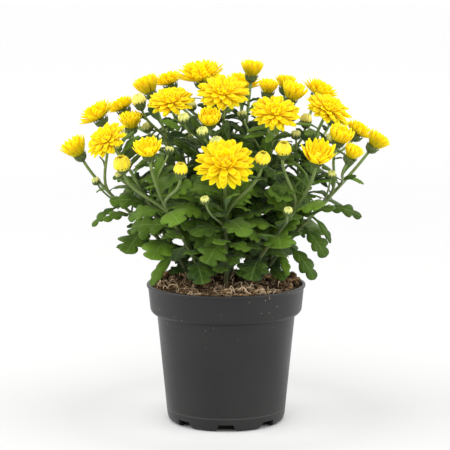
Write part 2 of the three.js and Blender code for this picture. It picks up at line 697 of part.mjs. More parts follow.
// Whether a blade keeps off the peat and inside the cone in which the shoots spread.
function inCone(leaf) {
  const { floor, cone } = RULE;
  return leafSamples(leaf).every(([spot]) => {
    const reach = cone.radius + cone.widening * (spot.z - COLLAR_Z);
    return spot.z > floor && Math.hypot(spot.x, spot.y) < reach;
  });
}

function ruleLeaf(stem, order, count, draw) {
  const share = (order + RULE.scatter * draw()) / count;
  const place = RULE.low + (RULE.high - RULE.low) * share;
  const base = STEMS[stem].getPoint(place);
  const size = 1 - RULE.loss * place * place;
  const turn = GOLDEN_ANGLE * (order + stem) + RULE.turnScatter * draw();
  const slope = RULE.slope - RULE.droop * (1 - place) + RULE.slopeScatter * (draw() - 0.5);
  const face = vec([RULE.faceScatter * (draw() - 0.5), RULE.faceScatter * (draw() - 0.5), 1]);
  face.add(vec([base.x, base.y, 0]).normalize().multiplyScalar(RULE.outward));
  const form = place > RULE.narrowAbove ? 'narrow' : ['cut', 'broad'][order % 2];
  const wide = form === 'narrow' ? RULE.narrowWidth : 1;
  const bends = [];
  for (const shrink of RULE_BENDS.shrinks) {
    for (const tilt of RULE_BENDS.tilts) {
      for (const swing of RULE_BENDS.swings) {
        const length = RULE.length * size * shrink;
        const angle = turn + swing;
        const flat = length * Math.cos(slope + tilt);
        const rise = length * Math.sin(slope + tilt);
        const tip = base.clone().add(vec([flat * Math.cos(angle), flat * Math.sin(angle), rise]));
        const width = wide * RULE.width * size * shrink;
        bends.push({ stem, base, tip, face, width, form, arch: LEAF_ARCH * length });
      }
    }
  }
  return bends.filter(inCone);
}

function planLeaves() {
  const leaves = [];
  FEET.forEach((_, stem) => sampleCurve(STEMS[stem], STEM_RADIUS, stem, 0));
  HEADS.forEach((head) => {
    sampleHead(head);
    const [, stem, place] = head;
    const { axis, neck } = headAxis(head);
    if (place < 1) sampleCurve(branchCurve(stem, place, neck, axis), BRANCH_RADIUS, stem, 1);
  });
  SMALL_BUDS.forEach((bud) => {
    sampleCurve(budCurve(bud), TWIG_RADIUS, bud[0], 1);
    samples.push([vec(bud[2]), bud[3] / 2, bud[0]]);
  });
  SHOWN_LEAVES.forEach((row) => placeLeaf(shownLeaf(row), leaves));
  const draw = makeDraws(RULE.seed);
  RULE_LEAVES.forEach((count, stem) => {
    for (let order = 0; order < count; order += 1) {
      placeLeaf(ruleLeaf(stem, order, count, draw), leaves);
    }
  });
  return leaves;
}

// ---- The whole object ---------------------------------------------------------------------

const MATERIALS = {
  pot: new THREE.MeshStandardMaterial({ color: 0x3a3a3a, roughness: 0.6, metalness: 0 }),
  soil: new THREE.MeshStandardMaterial({ color: 0x4f3823, roughness: 0.95, metalness: 0 }),
  leaf: new THREE.MeshStandardMaterial({ color: 0x46702a, roughness: 0.6, metalness: 0 }),
  petal: new THREE.MeshStandardMaterial({ color: 0xffdd00, roughness: 0.55, metalness: 0 }),
};

const model = new THREE.Group();

function addPiece(name, geometry, material) {
  const mesh = new THREE.Mesh(geometry, material);
  mesh.name = name;
  model.add(mesh);
}

const twoDigits = (number) => String(number).padStart(2, '0');

const leaves = planLeaves();
addPiece('pot', makePot(), MATERIALS.pot);
addPiece('soil', makeSoil(), MATERIALS.soil);
FEET.forEach((_, stem) => {
  const pieces = [
    makeStem(stem),
    ...HEADS.filter((head) => head[1] === stem && head[2] < 1).map(makeBranch),
    ...SMALL_BUDS.filter((bud) => bud[0] === stem).map(makeSmallBud),
    ...leaves.filter((leaf) => leaf.stem === stem).map(makeLeaf),
  ];
  const joined = pieces.reduce((whole, piece) => whole.add(piece));
  addPiece(`leafy_stem_${twoDigits(stem + 1)}`, toGeometry(joined), MATERIALS.leaf);
});
HEADS.forEach((head, order) => {
  addPiece(`bloom_${twoDigits(order + 1)}`, makeHead(head), MATERIALS.petal);
});

export default model;
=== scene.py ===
"""A potted chrysanthemum in flower: its nursery pot, peat, leafy shoots and flower heads.

Lengths are in millimetres until a piece is finished, and each finished piece is in metres.
"""

import functools
import math
from collections import namedtuple

import bmesh
import bpy
import numpy as np
from bpy.props import FloatProperty, FloatVectorProperty, IntProperty, PointerProperty
from mathutils import Matrix, Vector, noise


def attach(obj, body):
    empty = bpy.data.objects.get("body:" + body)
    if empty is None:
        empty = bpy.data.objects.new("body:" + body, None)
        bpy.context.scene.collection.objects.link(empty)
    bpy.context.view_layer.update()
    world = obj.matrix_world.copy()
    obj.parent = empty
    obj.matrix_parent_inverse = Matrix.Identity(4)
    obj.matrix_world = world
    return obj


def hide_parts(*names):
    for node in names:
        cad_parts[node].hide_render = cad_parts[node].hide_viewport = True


bl_info = {
    "name": "Pot Chrysanthemum",
    "version": (1, 0, 0),
    "blender": (4, 5, 0),
    "location": "3D View > Sidebar > Chrysanthemum",
    "description": "Builds a potted chrysanthemum in flower around its packed solids",
    "category": "Add Mesh",
}

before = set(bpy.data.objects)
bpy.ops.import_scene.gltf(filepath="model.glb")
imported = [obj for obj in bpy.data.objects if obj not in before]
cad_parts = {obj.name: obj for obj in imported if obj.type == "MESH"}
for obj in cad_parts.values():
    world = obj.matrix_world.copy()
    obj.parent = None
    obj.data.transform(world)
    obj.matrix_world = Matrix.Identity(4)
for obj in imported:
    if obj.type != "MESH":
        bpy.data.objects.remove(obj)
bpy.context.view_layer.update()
MM = 0.001

# ---- Pot and peat ----

POT_HEIGHT = 106.3
RIM_RADIUS = 60.9
COLLAR_RADIUS = 58.0
BODY_TOP_RADIUS = 53.0
BASE_RADIUS = 45.4
SHOULDER_Z = 83.5
WALL = 1.4
FLOOR = 1.6
SCUFF_HEIGHT = 0.0102  # the ring where stacked pots rub, in metres
NOTCH = {"count": 8, "low": 8.0, "high": 5.5, "height": 5.6, "inner": 36.0, "outer": 52.0}

GAP = 0.3
SOIL_TOP = 104.3
SOIL_STEP = 0.8
SOIL_CROWN = 4.5
SOIL_LUMP = 1.5
SOIL_EDGE = 57.7
FOOT_Z = 82.0  # stems end below the peat's face
COLLAR_Z = 110.5  # where they start to bend

# Outlines of the pot and of the peat's side, as radius and height. Both start on the axis.
POT_OUTLINE = [
    (0, 0), (BASE_RADIUS - 3.4, 0), (BASE_RADIUS - 0.9, 1.8), (BASE_RADIUS, 5),
    (BODY_TOP_RADIUS, SHOULDER_Z), (COLLAR_RADIUS - 2.0, SHOULDER_Z + 0.3),
    (COLLAR_RADIUS, SHOULDER_Z + 2.8), (RIM_RADIUS - 1.2, POT_HEIGHT - 3.0),
    (RIM_RADIUS, POT_HEIGHT - 1.9), (RIM_RADIUS, POT_HEIGHT),
    (RIM_RADIUS - WALL - 1.1, POT_HEIGHT), (COLLAR_RADIUS - WALL, SHOULDER_Z + 5),
    (BODY_TOP_RADIUS - WALL, SHOULDER_Z + 1.2), (BASE_RADIUS - WALL, 6.5),
    (BASE_RADIUS - WALL - 4, FLOOR), (0, FLOOR),
]
POT_BEND = 1.1
EDGE_BEVEL = 0.25
SHARP_ANGLE = math.radians(40)
PEAT_SIDE = [
    (0, FLOOR + GAP), (BASE_RADIUS - WALL - 4.6, FLOOR + GAP),
    (BASE_RADIUS - WALL - 0.5, 6.9), (BODY_TOP_RADIUS - WALL - 0.6, SHOULDER_Z + 1.2),
    (COLLAR_RADIUS - WALL - 0.7, SHOULDER_Z + 5.4), (SOIL_EDGE + 0.3, SOIL_TOP - 1.5),
]
PEAT_RINGS = 46
PEAT_SIDES = 144

# Clods: the size of the noise that makes them, the height at which it is read, its falloff, step
# and octaves, and the clods' own height.
CLOD_SIZE = 7.0
CLOD_LAYER = 3.0
CLOD_NOISE = (0.9, 2.1, 4)
CLOD_HEIGHT = 3.2

# Crumbs: the least radius and its spread, and how often large and heaped ones come.
SMALL_CRUMB = (0.5, 0.9)
LARGE_CRUMB = (1.2, 1.8)
HEAPED_CRUMB = (1.7, 2.1)
LARGE_EVERY = 4
HEAPED_EVERY = 6
CRUMB_SEED = 41

# Fibres: the least length and its spread, the least radius and its spread, and the curl.
SHORT_FIBRE = ((2.5, 6.0), (0.25, 0.35), 0.2)
TANGLED_FIBRE = ((9.0, 17.0), (0.12, 0.14), 0.7)
TWIG_CURL = 0.3
TANGLED_EVERY = 4
FIBRE_POINTS = 9
FIBRE_SEED = 57

# ---- The plant's layout, the same as in the solids ----

STEM_RADIUS = 1.7
BRANCH_RADIUS = 1.3
TWIG_RADIUS = 0.8
BRANCH_TAPER = 0.8
STEM_REACH = 34.0
STEM_LEAN = 0.75
BRANCH_PULL = 0.32
HEADING_STEP = 0.02
CUP_DEPTH = 0.95

LEAF_THICKNESS = 0.8
LEAF_FOLD = 0.16
LEAF_ARCH = 0.12
LEAF_CLEAR = 4.2
LOW_LEAF_Z = COLLAR_Z - 6
RIM_CLEAR = 3.0
GOLDEN_ANGLE = 2.399963

FEET = [
    (0, -25), (-16, -21), (-26, -10), (-28, 5), (-17, 7), (-10, -8), (1, -12),
    (16, -21), (26, -9), (27, 6), (12, -6), (4, 8), (-13, 22), (14, 22),
]

# Flower heads: form, stem, place where the branch leaves (1 ends the stem itself), middle,
# diameter and the direction that the head faces.
Head = namedtuple("Head", "form stem place middle diameter facing")
HEADS = [Head(*row) for row in [
    ("open", 0, 1, (-1, -92, 209), 44, (0, -0.77, 0.64)),
    ("open", 2, 1, (-88, -52, 222), 33, (-0.45, -0.62, 0.64)),
    ("half", 3, 0.72, (-99, 12, 236), 32, (-0.52, 0.05, 0.85)),
    ("open", 5, 0.66, (-41, -28, 249), 36, (-0.1, -0.55, 0.83)),
    ("half", 5, 1, (-20, 10, 267), 39, (-0.17, -0.08, 0.98)),
    ("open", 6, 1, (-2, -32, 256), 41, (0, -0.6, 0.8)),
    ("open", 10, 1, (36, -50, 242), 38, (0.05, -0.62, 0.78)),
    ("open", 9, 1, (77, -25, 243), 37, (0.35, -0.5, 0.79)),
    ("half", 9, 0.7, (74, 38, 252), 31, (0.45, 0.05, 0.88)),
    ("half", 5, 0.72, (-45, 45, 260), 26, (-0.3, 0.05, 0.95)),
    ("fan", 4, 1, (-61, 22, 257), 20, (-0.38, 0.05, 0.92)),
    ("half", 4, 0.7, (-82, 42, 240), 24, (-0.45, 0.15, 0.88)),
    ("half", 11, 0.7, (13, 44, 258), 32, (0.1, 0.1, 0.99)),
    ("fan", 3, 1, (-115, 0, 211), 20, (-0.5, -0.1, 0.85)),
    ("funnel", 1, 1, (-56, -78, 217), 21, (-0.12, -0.4, 0.91)),
    ("fan", 4, 0.66, (-72, -8, 232), 17, (-0.1, -0.2, 0.97)),
    ("bowl", 6, 0.72, (-12, -50, 238), 17, (0, -0.5, 0.86)),
    ("fan", 11, 1, (20, 18, 270), 17, (0.1, 0, 0.99)),
    ("fan", 10, 0.75, (32, 2, 257), 15, (0.1, -0.1, 0.99)),
    ("fan", 11, 0.75, (46, 24, 259), 15, (0.1, 0.1, 0.99)),
    ("fan", 10, 0.7, (51, -10, 254), 19, (0.35, -0.1, 0.93)),
    ("funnel", 7, 1, (66, -75, 213), 25, (0.12, -0.5, 0.86)),
    ("bowl", 8, 0.62, (84, -52, 226), 19, (0.3, -0.25, 0.92)),
    ("half", 9, 0.6, (103, 25, 222), 25, (0.55, 0.1, 0.83)),
    ("fan", 8, 0.7, (92, -62, 213), 14, (0.45, -0.2, 0.87)),
    ("fan", 8, 1, (114, -12, 217), 17, (0.6, 0, 0.8)),
    ("bud", 1, 0.55, (-75, -72, 206), 14, (-0.15, -0.4, 0.9)),
    ("bud", 1, 0.62, (-32, -92, 204), 11, (0.05, -0.35, 0.93)),
    ("bud", 0, 0.5, (26, -86, 211), 12, (0.1, -0.45, 0.89)),
    ("bud", 7, 0.6, (41, -76, 217), 13, (0.05, -0.4, 0.91)),
    ("young", 4, 0.74, (-66, -4, 247), 12, (-0.3, -0.1, 0.95)),
    ("young", 10, 0.6, (61, 6, 232), 10, (0.1, -0.1, 0.99)),
    ("open", 13, 0.6, (0, 95, 192), 36, (0, 0.8, 0.6)),
    ("open", 13, 1, (40, 80, 235), 36, (0.2, 0.55, 0.8)),
    ("open", 12, 1, (-44, 82, 240), 34, (-0.2, 0.55, 0.8)),
    ("bowl", 13, 0.7, (74, 80, 202), 23, (0.4, 0.5, 0.77)),
    ("fan", 12, 0.6, (-63, 85, 203), 20, (-0.3, 0.5, 0.8)),
    ("half", 12, 0.72, (-95, 56, 213), 28, (-0.55, 0.4, 0.73)),
    ("open", 9, 0.5, (86, 64, 230), 26, (0.45, 0.35, 0.82)),
    ("half", 11, 0.6, (-12, 64, 258), 24, (-0.1, 0.3, 0.95)),
]]

# Small green buds: stem, place along it, middle, diameter.
SmallBud = namedtuple("SmallBud", "stem place middle diameter")
SMALL_BUDS = [SmallBud(*row) for row in [
    (0, 0.36, (-15, -98, 182), 6), (2, 0.72, (-80, -35, 213), 6),
    (2, 0.6, (-78, -62, 196), 5), (3, 0.55, (-98, -12, 186), 6),
    (4, 0.6, (-75, -2, 221), 8), (4, 0.8, (-60, 8, 225), 8),
    (5, 0.6, (-31, -50, 236), 8), (5, 0.76, (-26, -8, 242), 7),
    (6, 0.6, (-17, -62, 227), 8), (6, 0.5, (-7, -68, 220), 9),
    (1, 0.8, (-41, -62, 214), 6), (10, 0.66, (12, -14, 236), 7),
    (7, 0.42, (44, -88, 173), 6), (9, 0.5, (52, -25, 222), 7),
    (9, 0.8, (77, -32, 220), 7), (8, 0.5, (77, -50, 195), 6),
    (13, 0.5, (30, 70, 205), 8), (12, 0.5, (-30, 70, 212), 8),
]]

# Leaves that stand in the outline or in front: stem, place along it, tip, width, form.
SHOWN_LEAVES = [
    (3, 0.62, (-103, -5, 151), 8, "cut"), (3, 0.52, (-92, -14, 157), 11, "cut"),
    (2, 0.5, (-87, -32, 175), 17, "broad"), (1, 0.6, (-73, -52, 164), 15, "broad"),
    (3, 0.42, (-75, -4, 151), 6, "narrow"), (3, 0.4, (-75, -24, 133), 25, "cut"),
    (3, 0.26, (-84, -8, 136), 9, "narrow"), (2, 0.3, (-55, -48, 131), 24, "broad"),
    (2, 0.2, (-57, -30, 109), 10, "narrow"), (2, 0.06, (-43, -32, 119), 9, "narrow"),
    (3, 0.76, (-100, 0, 179), 5, "narrow"), (2, 0.66, (-85, -20, 191), 10, "cut"),
    (1, 0.18, (-17, -56, 115), 20, "broad"), (0, 0.34, (-15, -66, 132), 24, "cut"),
    (0, 0.42, (-25, -74, 154), 15, "broad"), (0, 0.56, (-14, -74, 176), 12, "broad"),
    (0, 0.5, (15, -90, 155), 19, "broad"), (0, 0.3, (17, -62, 141), 10, "broad"),
    (7, 0.26, (12, -52, 142), 8, "narrow"), (7, 0.2, (18, -56, 118), 24, "cut"),
    (8, 0.1, (44, -28, 113), 12, "broad"), (7, 0.42, (40, -60, 142), 24, "broad"),
    (8, 0.22, (46, -34, 117), 8, "narrow"), (8, 0.28, (67, -26, 113), 14, "broad"),
    (8, 0.42, (75, -26, 130), 15, "broad"), (8, 0.5, (80, -8, 138), 7, "narrow"),
    (8, 0.46, (79, -42, 169), 14, "broad"), (8, 0.56, (103, -20, 161), 13, "cut"),
    (8, 0.8, (104, -14, 184), 4, "narrow"), (7, 0.55, (30, -40, 182), 14, "broad"),
    (5, 0.6, (-40, -16, 221), 15, "broad"), (6, 0.6, (-3, -40, 226), 12, "broad"),
    (10, 0.66, (31, -30, 222), 12, "broad"), (5, 0.5, (-26, -40, 212), 14, "broad"),
    (5, 0.66, (-27, -2, 226), 14, "broad"), (11, 0.7, (19, -20, 231), 14, "broad"),
    (10, 0.5, (21, -60, 196), 15, "broad"),
]
FRONT_LIGHT = np.array([0, -0.8, 1.0])
RULE_LEAVES = [5, 5, 5, 5, 8, 7, 6, 5, 5, 8, 7, 7, 9, 9]
RULE = {
    "low": 0.16, "high": 0.85, "scatter": 0.3, "length": 40.0, "width": 26.0, "loss": 0.5,
    "slope": 0.35, "droop": 1.1, "slope_scatter": 0.4, "turn_scatter": 0.6,
    "face_scatter": 0.6, "outward": 0.7, "narrow_above": 0.7, "narrow_width": 0.4,
}
RULE_FLOOR = 117.0  # ruled leaves stay above this height and inside a cone over the peat
RULE_CONE = (38.0, 1.1)  # its radius at the foot of the stems, and how fast it widens
RULE_SEED = 7
SHOWN_LIFTS = (0, 4, -4, 8, -8)
SHOWN_DEPTHS = (0, -7, 7, -14, 14)
RULE_SHRINKS = (1, 0.75)
RULE_TILTS = (0, 0.45, -0.45)
RULE_SWINGS = (0, 0.7, -0.7, 1.4, -1.4, 2.1, -2.1, 3)
SAMPLE_STEP = 5.0
BLADE_ROWS = [(0.3, 0.2), (0.42, 0.7), (0.55, 0.7), (0.7, 1), (0.84, 0.6), (1, 0)]
BLADE_PLACES = (-1, -0.5, 0, 0.5, 1)

# Small leaves that cover the front stems, in the form of SHOWN_LEAVES.
COVER_LEAVES = [
    (0, 0.12, (-7, -52, 124), 13, "broad"), (0, 0.22, (7, -64, 131), 14, "cut"),
    (0, 0.30, (-6, -74, 147), 14, "broad"), (0, 0.40, (7, -84, 160), 13, "broad"),
    (0, 0.48, (-7, -86, 170), 11, "cut"), (0, 0.58, (9, -90, 186), 8, "narrow"),
    (1, 0.24, (-24, -58, 137), 15, "broad"), (1, 0.36, (-42, -62, 152), 14, "cut"),
    (7, 0.30, (27, -60, 152), 15, "cut"), (7, 0.44, (44, -66, 164), 13, "broad"),
    (8, 0.30, (52, -40, 150), 14, "broad"), (2, 0.34, (-58, -40, 152), 14, "broad"),
]

# Leaves between those of the solids, smaller and closer together: how many tries on each stem.
FILL_TRIES = 36
FILL = dict(RULE, low=0.2, high=0.96, length=32.0, width=21.0, slope_scatter=1.5,
            face_scatter=1.4, turn_scatter=1.4, loss=0.4, narrow_above=0.76, narrow_width=0.45)
FILL_SEED = 23
FILL_CLEAR = 1.8
FILL_REACH = (44.0, 0.3, 246.0)  # farthest from the axis at the foot, its growth, and highest

# ---- Flower heads: whorls of petals ----
# Each form: the middle's height over the seat, as a part of the head's radius, the cup's radius,
# how pointed the petals are, how far the cup's scales reach out and up, in cup radii or on a
# closed bud in the bud's own radii, and the round heart's width, height and middle. A whorl has a
# count, then the base, bend and tip of its petals' ribs, as distance from the head's axis and
# height over its seat, and their width. These are parts of the head's radius.

Form = namedtuple("Form", "middle cup point scales heart whorls")
FORMS = {
    "open": Form(0.3, 5.2, 0.25, (1.12, 0.0), (0.24, 0.2, 0.24), [
        (11, (0.10, 0.05), (0.50, 0.19), (1.00, 0.14), 0.27),
        (11, (0.10, 0.07), (0.50, 0.22), (0.98, 0.19), 0.27),
        (11, (0.10, 0.09), (0.50, 0.26), (0.91, 0.25), 0.27),
        (10, (0.10, 0.11), (0.46, 0.31), (0.81, 0.32), 0.26),
        (9, (0.11, 0.13), (0.40, 0.36), (0.66, 0.39), 0.25),
        (8, (0.12, 0.13), (0.34, 0.39), (0.40, 0.48), 0.21),
        (7, (0.12, 0.15), (0.29, 0.41), (0.28, 0.52), 0.18),
        (6, (0.09, 0.16), (0.22, 0.42), (0.17, 0.54), 0.15),
        (4, (0.05, 0.20), (0.14, 0.42), (0.06, 0.53), 0.12),
    ]),
    "half": Form(0.42, 5.2, 0.3, (1.15, 0.2), (0.2, 0.26, 0.28), [
        (12, (0.14, 0.06), (0.62, 0.18), (1.00, 0.40), 0.33),
        (12, (0.13, 0.08), (0.58, 0.28), (0.94, 0.53), 0.32),
        (12, (0.11, 0.10), (0.50, 0.38), (0.83, 0.66), 0.30),
        (11, (0.10, 0.12), (0.40, 0.46), (0.69, 0.76), 0.27),
        (10, (0.08, 0.14), (0.30, 0.52), (0.53, 0.82), 0.24),
        (8, (0.06, 0.16), (0.20, 0.55), (0.36, 0.84), 0.21),
        (6, (0.04, 0.18), (0.10, 0.55), (0.18, 0.82), 0.18),
    ]),
    "bowl": Form(0.8, 4.6, 0.5, (1.25, 0.45), (0.42, 0.42, 0.44), [
        (10, (0.36, 0.08), (0.96, 0.24), (0.94, 1.12), 0.60),
        (10, (0.32, 0.12), (0.88, 0.32), (0.80, 1.20), 0.54),
        (9, (0.26, 0.16), (0.74, 0.40), (0.62, 1.18), 0.48),
        (8, (0.18, 0.20), (0.55, 0.50), (0.44, 1.10), 0.38),
        (6, (0.10, 0.24), (0.34, 0.55), (0.26, 1.00), 0.30),
        (4, (0.04, 0.28), (0.14, 0.55), (0.08, 0.90), 0.22),
    ]),
    "funnel": Form(0.6, 4.4, 0.75, (1.2, 0.35), (0.28, 0.3, 0.32), [
        (8, (0.26, 0.08), (0.70, 0.22), (1.04, 1.00), 0.60),
        (8, (0.24, 0.12), (0.62, 0.30), (0.93, 1.02), 0.54),
        (8, (0.20, 0.16), (0.52, 0.36), (0.78, 0.96), 0.46),
        (7, (0.16, 0.18), (0.40, 0.40), (0.60, 0.86), 0.38),
        (7, (0.12, 0.20), (0.28, 0.42), (0.41, 0.74), 0.29),
        (5, (0.08, 0.22), (0.16, 0.42), (0.22, 0.64), 0.22),
    ]),
    "fan": Form(0.85, 4.4, 0.3, (1.18, 0.4), (0.36, 0.5, 0.5), [
        (12, (0.34, 0.10), (0.74, 0.46), (1.06, 1.26), 0.46),
        (12, (0.30, 0.13), (0.66, 0.56), (0.94, 1.40), 0.43),
        (11, (0.24, 0.16), (0.54, 0.68), (0.75, 1.50), 0.38),
        (9, (0.17, 0.20), (0.40, 0.78), (0.54, 1.52), 0.33),
        (7, (0.10, 0.24), (0.24, 0.80), (0.30, 1.46), 0.28),
        (4, (0.04, 0.28), (0.08, 0.80), (0.09, 1.38), 0.22),
    ]),
    "bud": Form(0.9, 3.4, 0.35, (0.93, 0.62), (0.72, 0.56, 0.78), [
        (7, (0.45, 0.12), (1.22, 0.46), (0.50, 1.52), 0.86),
        (7, (0.42, 0.20), (1.10, 0.74), (0.33, 1.56), 0.74),
        (6, (0.34, 0.30), (0.84, 0.98), (0.20, 1.48), 0.56),
        (4, (0.20, 0.40), (0.46, 1.12), (0.06, 1.30), 0.36),
    ]),
    "young": Form(0.9, 3.4, 0.4, (0.93, 0.62), (0.74, 0.60, 0.80), [
        (7, (0.45, 0.12), (1.22, 0.52), (0.42, 1.58), 0.86),
        (6, (0.42, 0.20), (1.06, 0.82), (0.24, 1.56), 0.70),
        (5, (0.30, 0.30), (0.74, 1.02), (0.08, 1.42), 0.50),
    ]),
}
CLOSED = ("bud", "young")


# ---- Vectors, curves and seeded draws ----

def unit(vector):
    return vector / np.linalg.norm(vector)


def make_draws(seed):
    """A function that draws a number between 0 and 1, the same series for the same seed."""
    state = seed * 7919 + 17

    def draw():
        nonlocal state
        state = state * 16807 % 2147483647
        return state / 2147483647

    return draw


def spread(draw, least, width):
    """A number drawn from least to least + width."""
    return least + width * draw()


def swing(draw, width):
    """A number drawn about zero, up to half of width to each side."""
    return width * (draw() - 0.5)


def bezier(curve, places):
    """Points of a cubic curve through four points, at one place or at an array of places."""
    t = np.asarray(places, float)[..., None]
    a, b, c, d = curve
    return (1 - t) ** 3 * a + 3 * (1 - t) ** 2 * t * b + 3 * (1 - t) * t ** 2 * c + t ** 3 * d


def tangent(curve, place):
    near = 1e-4
    low, high = max(place - near, 0), min(place + near, 1)
    return unit(bezier(curve, high) - bezier(curve, low))


def curve_length(curve):
    points = bezier(curve, np.linspace(0, 1, 201))
    return np.linalg.norm(np.diff(points, axis=0), axis=1).sum()


def cross_axes(direction):
    """Two directions square to a given one; the first lies in the X-Z plane."""
    first = unit(np.array([-direction[2], 0, direction[0]]))
    return first, np.cross(direction, first)


def axis_matrix(axis, place):
    """The matrix that sets a form that stands on its own Z axis at place, along axis."""
    first, second = cross_axes(axis)
    matrix = Matrix((first, second, axis)).transposed().to_4x4()
    matrix.translation = Vector(place)
    return matrix


def smooth(low, high, values):
    t = np.clip((values - low) / (high - low), 0, 1)
    return t * t * (3 - 2 * t)


# ---- Stems, branches and where they end ----

Seat = namedtuple("Seat", "axis seat neck depth")
Leaf = namedtuple("Leaf", "stem base tip face width form arch")


def seat_of(head):
    """Where a head's stalk ends below its cup, and the direction that the head faces."""
    axis = unit(np.array(head.facing, float))
    form = FORMS[head.form]
    seat = np.array(head.middle, float) - axis * form.middle * head.diameter / 2
    depth = form.cup * CUP_DEPTH
    return Seat(axis, seat, seat - axis * (depth + GAP), depth)


def top_head(stem):
    return next(head for head in HEADS if head.stem == stem and head.place == 1)


@functools.lru_cache(maxsize=None)
def stem_curve(stem):
    x, y = FEET[stem]
    start = np.array([x, y, COLLAR_Z], float)
    seat = seat_of(top_head(stem))
    rise = np.array([x * STEM_LEAN, y * STEM_LEAN, STEM_REACH])
    reach = np.linalg.norm(seat.neck - start) * BRANCH_PULL
    return np.array([start, start + rise, seat.neck - seat.axis * reach, seat.neck])


def branch_curve(stem, place, neck, axis):
    start = bezier(stem_curve(stem), place)
    heading = unit(bezier(stem_curve(stem), place + HEADING_STEP) - start)
    reach = np.linalg.norm(neck - start) * BRANCH_PULL
    return np.array([start, start + heading * reach, neck - axis * reach, neck])


def bud_curve(bud):
    middle = np.array(bud.middle, float)
    heading = unit(middle - bezier(stem_curve(bud.stem), bud.place))
    axis = unit(heading + np.array([0, 0, 1.0]))
    return branch_curve(bud.stem, bud.place, middle, axis)


# ---- Leaves: their frame and the room that they need ----

def leaf_points(leaf, places, acrosses, lifts):
    """Points of a blade: along its arched rib, across it, and over its face."""
    chord = leaf.tip - leaf.base
    heading = unit(chord)
    side = unit(np.cross(heading, leaf.face))
    normal = np.cross(side, heading)
    places = np.asarray(places, float)
    bend = 4 * leaf.arch * places * (1 - places)
    slope = 4 * leaf.arch * (1 - 2 * places)
    headings = chord + slope[:, None] * normal
    headings /= np.linalg.norm(headings, axis=1)[:, None]
    faces = np.cross(side, headings)
    ribs = leaf.base + places[:, None] * chord + bend[:, None] * normal
    raised = np.abs(acrosses) * LEAF_FOLD + lifts
    return ribs + np.asarray(acrosses)[:, None] * side + raised[:, None] * faces


def leaf_spots(leaf):
    places = np.array([place for place, _ in BLADE_ROWS for _ in BLADE_PLACES])
    parts = np.array([part * across for _, part in BLADE_ROWS for across in BLADE_PLACES])
    return leaf_points(leaf, places, parts * leaf.width / 2, 0), places


class Room:
    """Round samples of everything placed so far, and the test of a leaf against them."""

    def __init__(self):
        self.middles = np.empty((0, 3))
        self.radii = np.empty(0)
        self.stems = np.empty(0, int)

    def add(self, middles, radius, stem):
        middles = np.atleast_2d(middles)
        self.middles = np.vstack([self.middles, middles])
        self.radii = np.append(self.radii, np.full(len(middles), float(radius)))
        self.stems = np.append(self.stems, np.full(len(middles), stem))

    def add_curve(self, curve, radius, stem, start):
        count = math.ceil(curve_length(curve) / SAMPLE_STEP)
        self.add(bezier(curve, np.arange(start, count + 1) / count), radius, stem)

    def add_head(self, head):
        seat = seat_of(head)
        radius = head.diameter / 2
        first, second = cross_axes(seat.axis)
        middle = seat.seat + seat.axis * FORMS[head.form].middle * radius
        self.add(middle, radius * 0.6, head.stem)
        if head.form not in CLOSED:
            angles = np.arange(10) * math.pi / 5
            out = np.outer(np.cos(angles), first) + np.outer(np.sin(angles), second)
            self.add(middle + out * radius * 0.8, radius * 0.3, head.stem)

    def is_clear(self, leaf, clearance):
        spots, places = leaf_spots(leaf)
        low = spots[:, 2] < LOW_LEAF_Z
        if np.any(low & (np.hypot(spots[:, 0], spots[:, 1]) < RIM_RADIUS + RIM_CLEAR)):
            return False
        middle = spots.mean(axis=0)
        reach = np.linalg.norm(spots - middle, axis=1).max() + clearance + self.radii.max()
        near = np.linalg.norm(self.middles - middle, axis=1) < reach
        gaps = np.linalg.norm(spots[:, None] - self.middles[near], axis=2)
        counts = (self.stems[near] != leaf.stem) | (places > 0.5)[:, None]
        return not np.any(counts & (gaps < self.radii[near] + clearance))

    def place(self, bends, leaves, clearance):
        """Keeps the first of a leaf's bends that is clear."""
        for leaf in bends:
            if self.is_clear(leaf, clearance):
                self.add(leaf_spots(leaf)[0], LEAF_THICKNESS / 2, leaf.stem)
                leaves.append(leaf)
                return


def shown_leaf(stem, place, tip, width, form):
    base = bezier(stem_curve(stem), place)
    for lift in SHOWN_LIFTS:
        for depth in SHOWN_DEPTHS:
            end = np.array(tip, float) + (0, depth, lift)
            arch = LEAF_ARCH * np.linalg.norm(end - base)
            yield Leaf(stem, base, end, FRONT_LIGHT, width, form, arch)


def ruled_leaf(stem, order, count, rule, draw):
    """The bends of a leaf that a rule places on a stem, from the peat up."""
    place = rule["low"] + (rule["high"] - rule["low"]) * (order + rule["scatter"] * draw()) / count
    base = bezier(stem_curve(stem), place)
    size = 1 - rule["loss"] * place * place
    turn = GOLDEN_ANGLE * (order + stem) + rule["turn_scatter"] * draw()
    slope = rule["slope"] - rule["droop"] * (1 - place) + swing(draw, rule["slope_scatter"])
    scatter = rule["face_scatter"]
    face = np.array([swing(draw, scatter), swing(draw, scatter), 1])
    face = face + unit(base * (1, 1, 0)) * rule["outward"]
    form = "narrow" if place > rule["narrow_above"] else ("cut", "broad")[order % 2]
    wide = rule["narrow_width"] if form == "narrow" else 1
    bends = []
    for shrink in RULE_SHRINKS:
        for tilt in RULE_TILTS:
            for aside in RULE_SWINGS:
                length = rule["length"] * size * shrink
                angle = turn + aside
                flat = length * math.cos(slope + tilt)
                rise = length * math.sin(slope + tilt)
                tip = base + (flat * math.cos(angle), flat * math.sin(angle), rise)
                width = wide * rule["width"] * size * shrink
                bends.append(Leaf(stem, base, tip, face, width, form, LEAF_ARCH * length))
    return [leaf for leaf in bends if in_cone(leaf)]


